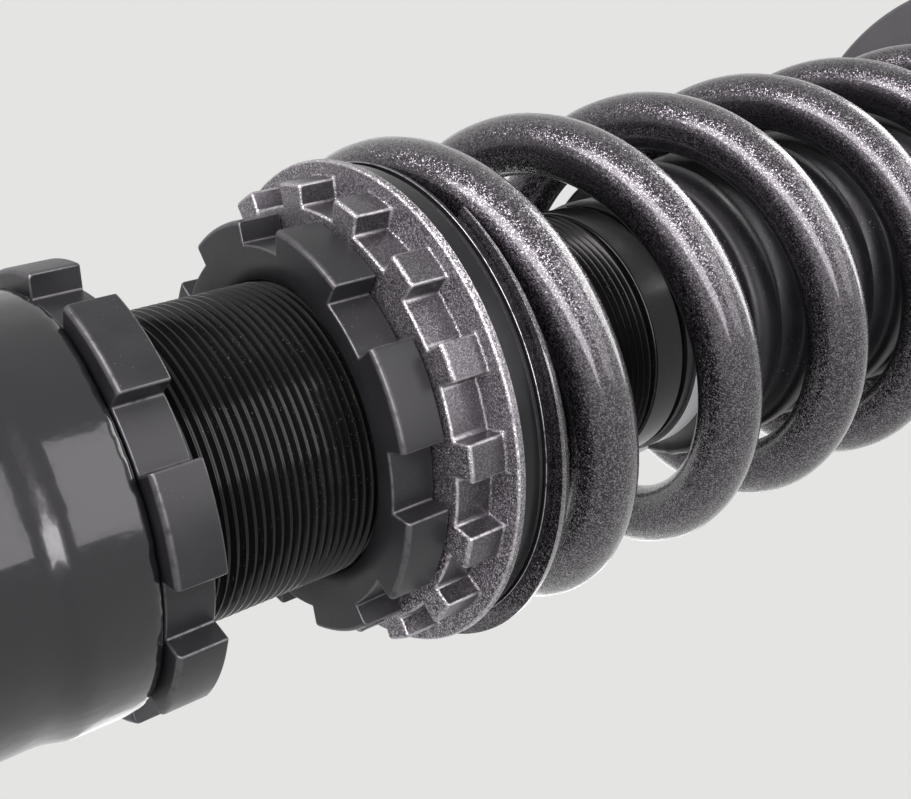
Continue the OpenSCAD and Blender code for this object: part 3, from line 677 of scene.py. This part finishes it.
def machined(name, dark, light, smooth, rough, rubbed_and_highlight_colour, metal, **even):
    """Turned metal: grain, lathe marks, and edges that are rubbed to a second, brighter colour that
    is partly a painted highlight.
    """
    material = grained(name, dark, light, smooth, rough, scale=900, depth=0.000006, **even)
    tree = material.node_tree
    shader = tree.nodes["Principled BSDF"]
    skin = shader.inputs["Normal"].links[0].from_socket
    marks = place_group(tree, TURNING, Normal=skin)
    tree.links.new(marks["Normal"], shader.inputs["Normal"])
    edge = place_group(tree, RUBBED_AND_HIGHLIT)["Mask"]
    # Painted highlight: the marked edges take the brighter colour, partly as real rubbing and
    # partly as lit edges.
    overlay(material, edge, rubbed_and_highlight_colour)
    tree.links.new(stretch(tree, edge, new_low=metal), shader.inputs["Metallic"])
    return material


# The fourth colour is the rubbed edge, brightened further as a painted highlight.
satin_black = machined("satin_black", (0.012, 0.012, 0.013), (0.030, 0.029, 0.032), 0.30, 0.42,
                       (0.19, 0.184, 0.195), 0.35, Specular_IOR_Level=0.5)
dusty(satin_black, scale=1800, share=0.12)


def lock_ring(name, low, turn, body_name, node):
    """One lock ring on the thread, with a lead-in at its lower face."""
    ring = toothed(name, [
        (28, low), (RING_FLOOR_R, low), (RING_FLOOR_R, low + RING_H), (25.8, low + RING_H),
        (25.05, low + 7.05), (25.05, low + 1.7)], count=8, tooth=18, gap=12,
        floor_r=RING_FLOOR_R, tip_r=RING_R, low=low, high=low + RING_H, turn=turn)
    soften_rim(ring, RING_R, low, 0.9)
    round_edges(ring, 0.38)
    wear(ring, satin_black, "black_anodised", body_name, node)


lock_ring("bracket_ring", 132.3, turn=215.2, body_name="bracket_ring", node="bracket_lock_ring")
lock_ring("perch_ring", 170, turn=203, body_name="perch_ring", node="perch_lock_ring")

# ---------- Inside the tube ----------
# The lower end is closed by a turned cap with a brass gas valve, and a floating piston keeps the
# gas from the oil. The damping piston with its shims sits on the rod's lower end.


def paint_nodes(material, *names):
    """Gives parts that keep their own shape a material in place of their plain colour."""
    for name in names:
        for holder in nodes[name].material_slots:
            holder.material = material


def o_ring(name, groove_r, height, body_name, node, fit=1.8, deep=2.2):
    """A rubber ring pressed a little flat in a groove, whose outer radius it touches, in mm."""
    ring = round_ring(name, groove_r - fit / 2, fit / 2, height, 96)
    bpy.ops.object.mode_set(mode="EDIT")
    bpy.ops.mesh.select_all(action="SELECT")
    bpy.ops.transform.resize(value=(1, 1, deep / fit), center_override=(0, 0, height * MM))
    bpy.ops.object.mode_set(mode="OBJECT")
    bpy.ops.object.shade_smooth()
    wear(ring, rubber, "rubber", body_name, node)


o_ring("cap_o_ring", 20, 73.3, "damper", "base_o_ring")
o_ring("gas_piston_ring", 19.95, 108.9, "gas_piston", "floating_piston_seal", 2.2, 2.8)
o_ring("guide_ring", 22.5, 224.8, "damper", "guide_o_ring")
turned_aluminium = machined("turned_aluminium", (0.52, 0.52, 0.53), (0.66, 0.66, 0.67), 0.26, 0.38,
                            (0.8, 0.8, 0.8), 1.0)
brass = machined("turned_brass", (0.50, 0.34, 0.11), (0.66, 0.47, 0.18), 0.24, 0.38,
                 (0.8, 0.62, 0.3), 1.0)
bronze = grained("filled_bronze", (0.22, 0.13, 0.05), (0.36, 0.23, 0.10), 0.45, 0.62, scale=1500,
                 depth=0.00001, Metallic=0.5)
shim_steel = machined("shim_steel", (0.36, 0.36, 0.37), (0.50, 0.50, 0.52), 0.18, 0.30,
                      (0.75, 0.75, 0.76), 1.0)
paint_nodes(turned_aluminium, "base_cap", "floating_piston", "rod_guide", "piston")
paint_nodes(brass, "gas_valve")
paint_nodes(bronze, "rod_bush", "piston_band")
paint_nodes(shim_steel, "compression_shims", "rebound_shims", "stop_ring", "metering_rod")
paint_nodes(zinc, "piston_nut")
lip_seal = turned("rod_lip_seal", [
    (7.05, 228.2), (7.9, 226.0), (11, 226.0), (11, 231), (8.4, 231), (8.0, 229.6),
    (7.3, 229.2)], 96)
round_edges(lip_seal, 0.15)
wear(lip_seal, rubber, "rubber", "damper", "rod_seal")

# ---------- Spring perch ----------
# The perch has sixteen castellations under a flange, and a spigot that centres the spring. It is
# painted a sparkling grey, with less tilted flakes and a darker, evener grey on its walls as
# painted shade, and its edges rubbed bright with a painted highlight.
PERCH_LOW = 178.4
FLANGE_LOW = 185.2
PERCH_FLOOR_R = 35.95
PERCH_TIP_R = 39.6
FLANGE_R = 42.2
perch = toothed("perch", [
    (26.5, PERCH_LOW), (PERCH_FLOOR_R, PERCH_LOW), (PERCH_FLOOR_R, FLANGE_LOW),
    (PERCH_TIP_R, FLANGE_LOW), (FLANGE_R, FLANGE_LOW), (FLANGE_R, 186.8), (39.7, 187.2),
    (31.7, 187.2), (31.7, 197.2), (30.4, 198.5), (26.0, 198.5), (25.05, 197.5), (25.05, 180)],
    count=16, tooth=6, gap=9, floor_r=PERCH_FLOOR_R, tip_r=PERCH_TIP_R, low=PERCH_LOW,
    high=FLANGE_LOW, turn=230.4)
soften_rim(perch, PERCH_TIP_R, PERCH_LOW, 0.7)
round_edges(perch, 0.48)


def flake_group():
    """Metal flakes set at random tilts: a speckled tint and a normal that glints."""
    group, given, made = new_group(
        "flakes",
        [("Scale", "Float", 3000), ("Tilt", "Float", 0.3), ("Dark", "Color", (0, 0, 0, 1)),
         ("Light", "Color", (1, 1, 1, 1))],
        [("Colour", "Color"), ("Normal", "Vector")])
    cells = add_node(group, "TexVoronoi", {"Vector": place_on_piece(group),
                                           "Scale": given["Scale"]})
    split = add_node(group, "SeparateColor", {"Color": cells.outputs["Color"]})
    mask = stretch(group, split.outputs["Red"], 0.5, 1.0)
    centred = add_node(group, "VectorMath", {0: cells.outputs["Color"], 1: (0.5, 0.5, 0.5)},
                       operation="SUBTRACT")
    tilt = add_node(group, "VectorMath", {0: centred.outputs[0], "Scale": given["Tilt"]},
                    operation="SCALE")
    way = add_node(group, "VectorMath", {0: add_node(group, "NewGeometry").outputs["Normal"],
                                         1: tilt.outputs[0]}, operation="ADD")
    unit = add_node(group, "VectorMath", {0: way.outputs[0]}, operation="NORMALIZE")
    group.links.new(mix_colour(group, mask, given["Dark"], given["Light"]), made["Colour"])
    group.links.new(unit.outputs[0], made["Normal"])
    return group


FLAKES = flake_group()


def sparkling(name, dark, light, scale, tilt, roughness, **even):
    """Flake paint under its own clear coat."""
    material, tree, shader = new_material(name, Roughness=roughness, **even)
    skin = place_group(tree, FLAKES, Scale=scale, Tilt=tilt, Dark=dark + (1,), Light=light + (1,))
    tree.links.new(skin["Colour"], shader.inputs["Base Color"])
    tree.links.new(skin["Normal"], shader.inputs["Normal"])
    return material


perch_paint = sparkling("perch_paint", (0.110, 0.104, 0.112), (0.70, 0.66, 0.71), scale=6200,
                        tilt=0.50, roughness=0.32, Metallic=0.8, Coat_Weight=0.15,
                        Coat_Roughness=0.25)
tree = perch_paint.node_tree
shader = tree.nodes["Principled BSDF"]
flakes = shader.inputs["Normal"].links[0].from_node
# Painted shade: the walls that face out take a darker, evener grey, while the flat faces and the
# flange rim keep the bright sparkle, as the light falls there.
facing = add_node(tree, "SeparateXYZ", {
    "Vector": add_node(tree, "NewGeometry").outputs["True Normal"]})
rim = maths(tree, "GREATER_THAN", radius_and_height(tree)[0], (FLANGE_R - 1.2) * MM)
coarse_and_lit = maths(tree, "MAXIMUM", maths(tree, "ABSOLUTE", facing.outputs["Z"]), rim)
tree.links.new(stretch(tree, coarse_and_lit, new_low=0.16, new_high=0.80), flakes.inputs["Tilt"])
grey_with_painted_wall_shade = mix_colour(tree, stretch(tree, coarse_and_lit, new_low=0.22), (0.070, 0.066, 0.071, 1),
                  flakes.outputs["Colour"])
tree.links.new(grey_with_painted_wall_shade, shader.inputs["Base Color"])
# Painted highlight: the rubbed edges are laid over in a near-white grey, as lit fillets.
overlay(perch_paint, place_group(tree, RUBBED_AND_HIGHLIT, Share=0.45)["Mask"], (0.80, 0.78, 0.80))
wear(perch, perch_paint, "grey_painted", "perch", "spring_perch")

# ---------- Thrust bearing ----------
# Two hardened, blackened races with needle rollers between them let the spring turn on the
# perch. The lower race is cupped round a rubber lip, and the thin flange of the upper covers it.
# The races' fourth colours are rubbed edges, brightened as painted highlight lines.
race_steel = machined("race_steel", (0.24, 0.235, 0.25), (0.38, 0.37, 0.39), 0.20, 0.32,
                      (0.75, 0.74, 0.77), 1.0)
race_black = machined("race_black", (0.012, 0.012, 0.013), (0.026, 0.025, 0.027), 0.16, 0.26,
                      (0.62, 0.61, 0.64), 0.6)
lower_race = turned("cupped_race", [
    (32.2, 187.25), (40.7, 187.25), (40.7, 191.1), (39, 191.1), (39, 189), (32.2, 189)], 160)
round_edges(lower_race, 0.3)
wear(lower_race, race_black, "satin_steel", "perch", "lower_race")
upper_race = turned("flanged_race", [
    (32.2, 191), (38.4, 191), (38.4, 192), (40.9, 192), (40.9, 192.6), (32.2, 192.6)], 160)
round_edges(upper_race, 0.16)
wear(upper_race, race_black, "satin_steel", "spring_seat", "upper_race")
black_nylon = grained("black_nylon", (0.010, 0.010, 0.010), (0.026, 0.026, 0.026), 0.45, 0.6,
                      scale=900, depth=0.00002)
paint_nodes(black_nylon, "needle_cage")
paint_nodes(race_steel, "needle_rollers")
lip = turned("bearing_lip", [(38.4, 191.2), (40.2, 191.2), (40.2, 192), (38.4, 192)], 160)
round_edges(lip, 0.2)
wear(lip, rubber, "rubber", "spring_seat", "bearing_seal")

# ---------- Main spring ----------
# Cold-wound wire with both end coils closed and ground flat, in a dark metallic grey under a
# thick clear coat. It stands on the upper race and pushes up on the spring's upper seat.
WIRE_R = 5.6
COIL_R = 38.35
SEAT = 192.6
SPRING_TOP = 376.0
GRIND = 2.4
TIP_TURN = 226.5
CLOSED = 8 / 360
ACTIVE = 31.4 / 360
CORNER = 306
BEND = 216
active_angle = (SPRING_TOP - SEAT + 2 * GRIND - 2 * CORNER * CLOSED) / ACTIVE
spring_turn = 2 * CORNER + active_angle


def bend(angle):
    """How far the rise grows, at an angle after a corner from the closed to the active pitch."""
    if angle <= -BEND / 2:
        return 0
    if angle >= BEND / 2:
        return (ACTIVE - CLOSED) * angle
    return (ACTIVE - CLOSED) * (angle + BEND / 2) ** 2 / (2 * BEND)


wire = bpy.data.curves.new("spring_wire", "CURVE")
wire.dimensions = "3D"
wire.bevel_depth = WIRE_R * MM
wire.bevel_resolution = 8
wire.use_fill_caps = True
wire.twist_mode = "Z_UP"
rings = int(spring_turn / 3)
line = wire.splines.new("POLY")
line.points.add(rings)
for index, point in enumerate(line.points):
    angle = spring_turn * index / rings
    height = (SEAT - GRIND + CLOSED * angle + bend(angle - CORNER)
              - bend(angle - CORNER - active_angle))
    turn = math.radians(TIP_TURN + angle)
    point.co = (COIL_R * math.cos(turn) * MM, COIL_R * math.sin(turn) * MM, height * MM, 1)
spring = bpy.data.objects.new("coil_spring", wire)
scene.collection.objects.link(spring)
take(spring)
bpy.ops.object.convert(target="MESH")
spring = bpy.context.object
spring.name = spring.data.name = "coil_spring"
bpy.ops.object.mode_set(mode="EDIT")
bpy.ops.mesh.select_all(action="SELECT")
bpy.ops.mesh.remove_doubles(threshold=MERGE)
for height, above, below in ((SEAT, False, True), (SPRING_TOP, True, False)):
    bpy.ops.mesh.select_all(action="SELECT")
    bpy.ops.mesh.bisect(plane_co=(0, 0, height * MM), plane_no=(0, 0, 1), use_fill=True,
                        clear_outer=above, clear_inner=below)
bpy.ops.mesh.select_all(action="SELECT")
bpy.ops.mesh.normals_make_consistent(inside=False)
bpy.ops.object.mode_set(mode="OBJECT")
bpy.ops.object.shade_smooth_by_angle(angle=math.radians(40))
spring_paint = sparkling("spring_paint", (0.019, 0.017, 0.020), (0.27, 0.247, 0.275), scale=5600,
                         tilt=0.56, roughness=0.26, Metallic=0.9, Coat_Weight=1.0,
                         Coat_Roughness=0.14)
wear(spring, spring_paint, "spring_paint", "spring_seat", "main_spring")
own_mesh(spring)

# ---------- Gland nut, boot and clamp ----------
# The gland nut closes the tube. The ribbed boot fits over its spigot under a band clamp, and
# reaches up into the spring's upper seat, so that it covers the rod and the bump stop.
gland = turned("gland_nut_head", [
    (8, 231), (22.5, 231), (22.5, 234.4), (24.7, 234.4), (24.7, 242), (22, 242), (22, 251),
    (11, 251), (11, 247), (8, 247)], 128)
round_edges(gland, 0.6)
wear(gland, gloss_thread, "gloss_black", "damper", "gland_nut")

FOLD_PITCH = 15
outer = [(22, 243), (24.6, 243), (24.6, 251.5), (24.4, 253)]
inner = [(22, 251.5), (22.8, 253)]
for fold in range(7):
    crest = 261 + FOLD_PITCH * fold
    for angle in range(0, 181, 15):
        lean = math.cos(math.radians(angle))
        outer.append((27.4 + 3.0 * math.sin(math.radians(angle)) ** 0.7, crest - 4.3 * lean))
    inner += [(26.0, crest - 4.3), (28.7, crest - 2.4), (28.7, crest + 2.4), (26.0, crest + 4.3)]
    if fold < 6:
        outer += [(25.0, crest + 5.4), (24.4, crest + 6.4), (24.4, crest + 8.6),
                  (25.0, crest + 9.6)]
        inner += [(22.8, crest + 6.4), (22.8, crest + 8.6)]
outer += [(25.4, 357.5), (25.4, 366), (27.2, 369), (27.2, 371.8)]
inner += [(23.8, 357.5), (23.8, 366), (25.6, 369), (25.6, 371.8)]
boot = turned("ribbed_boot", outer + inner[::-1], 180)
ways = [point.normal.copy() for point in boot.data.vertices]
for point, way in zip(boot.data.vertices, ways):
    if abs(point.co.y) < 0.4 * MM and math.hypot(point.co.x, point.co.y) > 24 * MM:
        point.co += Vector((way.x, way.y, 0)) * 0.3 * MM
bpy.ops.object.shade_smooth_by_angle(angle=math.radians(50))
boot_rubber = grained("boot_rubber", (0.004, 0.004, 0.005), (0.012, 0.011, 0.013), 0.30, 0.44,
                      scale=1100, depth=0.00003, Specular_IOR_Level=0.35)
dusty(boot_rubber, scale=1500, share=0.16)
wear(boot, boot_rubber, "boot_rubber", "damper", "dust_boot")
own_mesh(boot)

paint_nodes(zinc, "bump_cup")
clamp = turned("boot_band", [(24.6, 245), (25.3, 245), (25.3, 250), (24.6, 250)], 160)
ear = bar("band_ear", 2.9, 245.4, 249.6, sides=48)
drill(ear, 2.2, 240, 255, sides=48)
take(ear)
bpy.ops.object.mode_set(mode="EDIT")
bpy.ops.mesh.select_all(action="SELECT")
bpy.ops.transform.resize(value=(0.72, 1, 1), center_override=(0, 0, 0))
bpy.ops.transform.translate(value=(24.9 * MM, 0, 0))
bpy.ops.mesh.bisect(plane_co=(24.9 * MM, 0, 0), plane_no=(1, 0, 0), clear_inner=True, use_fill=True)
bpy.ops.object.mode_set(mode="OBJECT")
combine(clamp, ear, "UNION")
round_edges(clamp, 0.14)
wear(clamp, zinc, "plated_steel", "damper", "boot_clamp")
wiper = turned("rod_wiper", [
    (7.05, 247), (11, 247), (11, 251.6), (9.2, 251.6), (8.4, 252.4), (7.6, 253.2), (7.05, 253.2),
    (7.4, 251.4), (7.8, 249)], 96)
round_edges(wiper, 0.15)
wear(wiper, rubber, "rubber", "damper", "wiper_seal")

# ---------- Rod and bump stop ----------
# A hard-chromed hollow rod, threaded at its tip for the nut, runs up through the gland. A foam
# bump stop with two grooves hangs on it under a pressed steel cup.
ROD_TIP = 419
rod = turned("rod", [
    (0, 186), (4.5, 186), (5, 186.6), (5, 210), (7, 210), (7, 213.4), (6, 213.4), (6, 214.6),
    (7, 214.6), (7, 372), (6, 372), (6, 398), (5.3, 398.8), (5.3, 402), (0, 402)], 96)
combine(rod, thread("rod_thread", 6, 0.65, 1.25, 400.5, ROD_TIP, 64), "UNION")
drill(rod, 3, 208, 425, sides=48)
drill(rod, 2, 180, 209, sides=48)
drill(rod, 1.2, -10, 10, axis="Y", sides=24, at=(0, 211.7))
bpy.ops.object.shade_smooth_by_angle(angle=math.radians(35))
chrome = grained("hard_chrome", (0.70, 0.71, 0.73), (0.78, 0.79, 0.81), 0.05, 0.10, scale=900,
                 depth=0.000002, Metallic=1.0)
wear(rod, chrome, "chrome", "rod", "piston_rod")
bumper = turned("top_out_ring", [(7, 214.6), (12, 214.6), (12, 221.6), (7, 221.6)], 96)
round_edges(bumper, 1.0, 4)
bump_stop = turned("foam_bump_stop", [
    (7.1, 314), (10.6, 314), (12.2, 314.6), (13.6, 316.6), (14.7, 320), (15, 323),
    (14.5, 325.6), (13.2, 327.4), (12.7, 328.4), (13.3, 329.4), (15.0, 331.2), (16.7, 334),
    (17.5, 338), (17.4, 341.6), (16.4, 344.6), (15.0, 346.4), (14.7, 347.2), (15.2, 348),
    (16.9, 349.6), (18.4, 353), (19.2, 358), (19.3, 364), (19.0, 368.6), (18.4, 370),
    (7.1, 370)], 96)
bpy.ops.object.shade_smooth_by_angle(angle=math.radians(50))
foam = grained("cellular_foam", (0.36, 0.27, 0.07), (0.52, 0.41, 0.14), 0.70, 0.90, scale=1800,
               depth=0.0001)
wear(bumper, foam, "foam", "rod", "top_out_bumper")
wear(bump_stop, foam, "foam", "rod", "bump_stop")

# ---------- Upper spring seat ----------
# A turned seat, satin black, whose spigot centres the top coil and takes the mouth of the boot.
# A wide groove in its upper face saves weight.
upper_seat = turned("upper_spring_seat", [
    (6, 372), (27.5, 372), (27.5, 365), (30.5, 365), (31.7, 366.2), (31.7, 376), (43, 376),
    (43, 379.1), (41.8, 380.3), (37, 380.3), (37, 378.9), (18, 378.9), (18, 380.3),
    (6, 380.3)], 160)
round_edges(upper_seat, 0.45)
wear(upper_seat, satin_black, "black_anodised", "rod", "upper_seat")

# ---------- Pillow-ball bearing ----------
# A hard-chromed ball in a steel race lets the strut swing in the mount. It stands on a tapered
# spacer, and a split ring with two plier holes holds the race in the plate's hub.
BALL = 392
spacer = turned("tapered_spacer", [(6, 380.3), (11, 380.3), (9, 383), (6, 383)], 96)
round_edges(spacer, 0.2)
wear(spacer, zinc, "plated_steel", "rod", "ball_spacer")
ball_side = [(13 * math.cos(math.radians(a)), BALL + 13 * math.sin(math.radians(a)))
             for a in [-43.81 + 87.62 * step / 24 for step in range(25)]]
ball = turned("pillow_ball", [(6, BALL - 9)] + ball_side + [(6, BALL + 9)], 128)
round_edges(ball, 0.25)
wear(ball, chrome, "chrome", "rod", "bearing_ball")
seat_side = [(13.05 * math.cos(math.radians(a)), BALL + 13.05 * math.sin(math.radians(a)))
             for a in [27.38 - 54.76 * step / 16 for step in range(17)]]
race = turned("bearing_outer_race", [(18, BALL - 6), (18, BALL + 6)] + seat_side, 128)
round_edges(race, 0.3)
wear(race, race_steel, "satin_steel", "top_mount", "bearing_race")
clip = turned("split_ring", [(15.2, 398), (19, 398), (19, 399.5), (15.2, 399.5)], 128)
for side in (-1, 1):
    lug = bar("lug", 2.3, 398, 399.5, sides=32, at=(15.3, side * 4.9))
    combine(clip, lug, "UNION")
combine(clip, block("gap", (12, 6, 6), (18, 0, 399)), "DIFFERENCE")
for side in (-1, 1):
    drill(clip, 1.0, 395, 402, sides=24, at=(15.3, side * 4.9))
round_edges(clip, 0.12)
oiled_black = machined("oiled_black", (0.018, 0.018, 0.019), (0.040, 0.039, 0.039), 0.28, 0.42,
                       (0.20, 0.20, 0.20), 0.6)
wear(clip, oiled_black, "black_steel", "top_mount", "retaining_ring")

# ---------- Mount plate and studs ----------
# A plate turned from aluminium and left satin, with a hub for the bearing, three windows of three
# holes, and three yellow-plated studs pressed in from below.
PLATE_LOW = 384.4
PLATE_TOP = 392.4
STUD_CIRCLE_R = 45
plate = turned("mount_plate", [
    (15.5, 384), (22, 384), (23.2, PLATE_LOW), (55.6, PLATE_LOW), (56.4, 385.2), (56.4, 390.9),
    (54.9, PLATE_TOP), (28.2, PLATE_TOP), (26.4, 393), (25, 394.6), (25, 400), (24, 401), (18, 401),
    (18, 399.5), (19, 399.5), (19, 398), (18, 398), (18, 386), (15.5, 386)], 192)
for third in range(3):
    stud_turn = math.radians(90 + 120 * third)
    spot = (STUD_CIRCLE_R * math.cos(stud_turn), STUD_CIRCLE_R * math.sin(stud_turn))
    drill(plate, 4.4, 380, 396, sides=48, at=spot)
    drill(plate, 6, 380, 386, sides=48, at=spot)
    for step in (-1, 0, 1):
        turn = math.radians(150 + 120 * third + 17 * step)
        spot = (41 * math.cos(turn), 41 * math.sin(turn))
        drill(plate, 5, 380, 396, sides=48, at=spot)
round_edges(plate, 0.4)
satin_aluminium = machined("satin_aluminium", (0.13, 0.127, 0.134), (0.18, 0.176, 0.185),
                           0.36, 0.48, (0.62, 0.61, 0.63), 0.85)
wear(plate, satin_aluminium, "satin_aluminium", "top_mount", "top_plate")

studs = []
for third in range(3):
    stud = turned("stud", [
        (0, PLATE_LOW), (5.6, PLATE_LOW), (6, 384.8), (6, 386), (4.4, 386), (4.4, PLATE_TOP),
        (3.45, 393.2), (3.45, 396), (0, 396)], 48)
    combine(stud, thread("stud_thread", 4, 0.6, 1.25, 394.2, 414.4, 48), "UNION")
    for point in stud.data.vertices:
        point.co += Vector((STUD_CIRCLE_R * MM, 0, 0))
    stud.rotation_euler = (0, 0, math.radians(90 + 120 * third))
    bpy.ops.object.transform_apply(location=False, rotation=True, scale=False)
    bpy.ops.object.shade_smooth_by_angle(angle=math.radians(35))
    studs.append(stud)
bpy.ops.object.select_all(action="DESELECT")
for stud in studs:
    stud.select_set(True)
bpy.context.view_layer.objects.active = studs[0]
bpy.ops.object.join()
yellow_zinc = grained("yellow_zinc", (0.42, 0.30, 0.10), (0.60, 0.50, 0.28), 0.24, 0.38, scale=400,
                      depth=0.000008, Metallic=1.0)
wear(studs[0], yellow_zinc, "zinc_yellow", "top_mount", "mount_studs")

# ---------- Rod nut and adjuster ----------
# A plated hexagon nut and washer clamp the ball on the rod. Above them a fluted, red anodised
# knob turns the metering rod inside the hollow rod.
washer = turned("rod_plain_washer", [(6, 401), (11.5, 401), (11.5, 403.5), (6, 403.5)], 96)
round_edges(washer, 0.35)
wear(washer, zinc, "plated_steel", "rod", "rod_washer")
nut = bar("rod_hex_nut", 19 / math.sqrt(3), 403.5, 413.5, sides=6)
combine(nut, turned("nut_chamfer", [
    (0, 403.5), (9.5, 403.5), (11.1, 404.4), (11.1, 412.6), (9.5, 413.5),
    (0, 413.5)], 96), "INTERSECT")
combine(nut, turned("nut_bore", [
    (0, 400), (6.6, 400), (6.6, 403.6), (6.0, 404.2), (6.0, 412.8), (6.6, 413.4), (6.6, 416),
    (0, 416)], 64), "DIFFERENCE")
round_edges(nut, 0.2, 2)
wear(nut, zinc, "plated_steel", "rod", "rod_nut")
knob = turned("adjuster_knob", [
    (2.95, 419.3), (8.2, 419.3), (9, 420.1), (9, 428.2), (8.2, 429.3), (5.4, 429.3), (4.6, 428.5),
    (0, 428.5), (0, 425.3), (2.95, 425.3)], 144)
for flute in range(18):
    turn = math.radians(20 * flute)
    spot = (9.5 * math.cos(turn), 9.5 * math.sin(turn))
    drill(knob, 0.95, 415, 433, sides=24, at=spot)
round_edges(knob, 0.15, 2)
red_anodised = machined("red_anodised", (0.24, 0.008, 0.012), (0.36, 0.016, 0.020), 0.24, 0.36,
                        (0.55, 0.20, 0.20), 0.8)
wear(knob, red_anodised, "red_anodised", "adjuster", "rebound_knob")
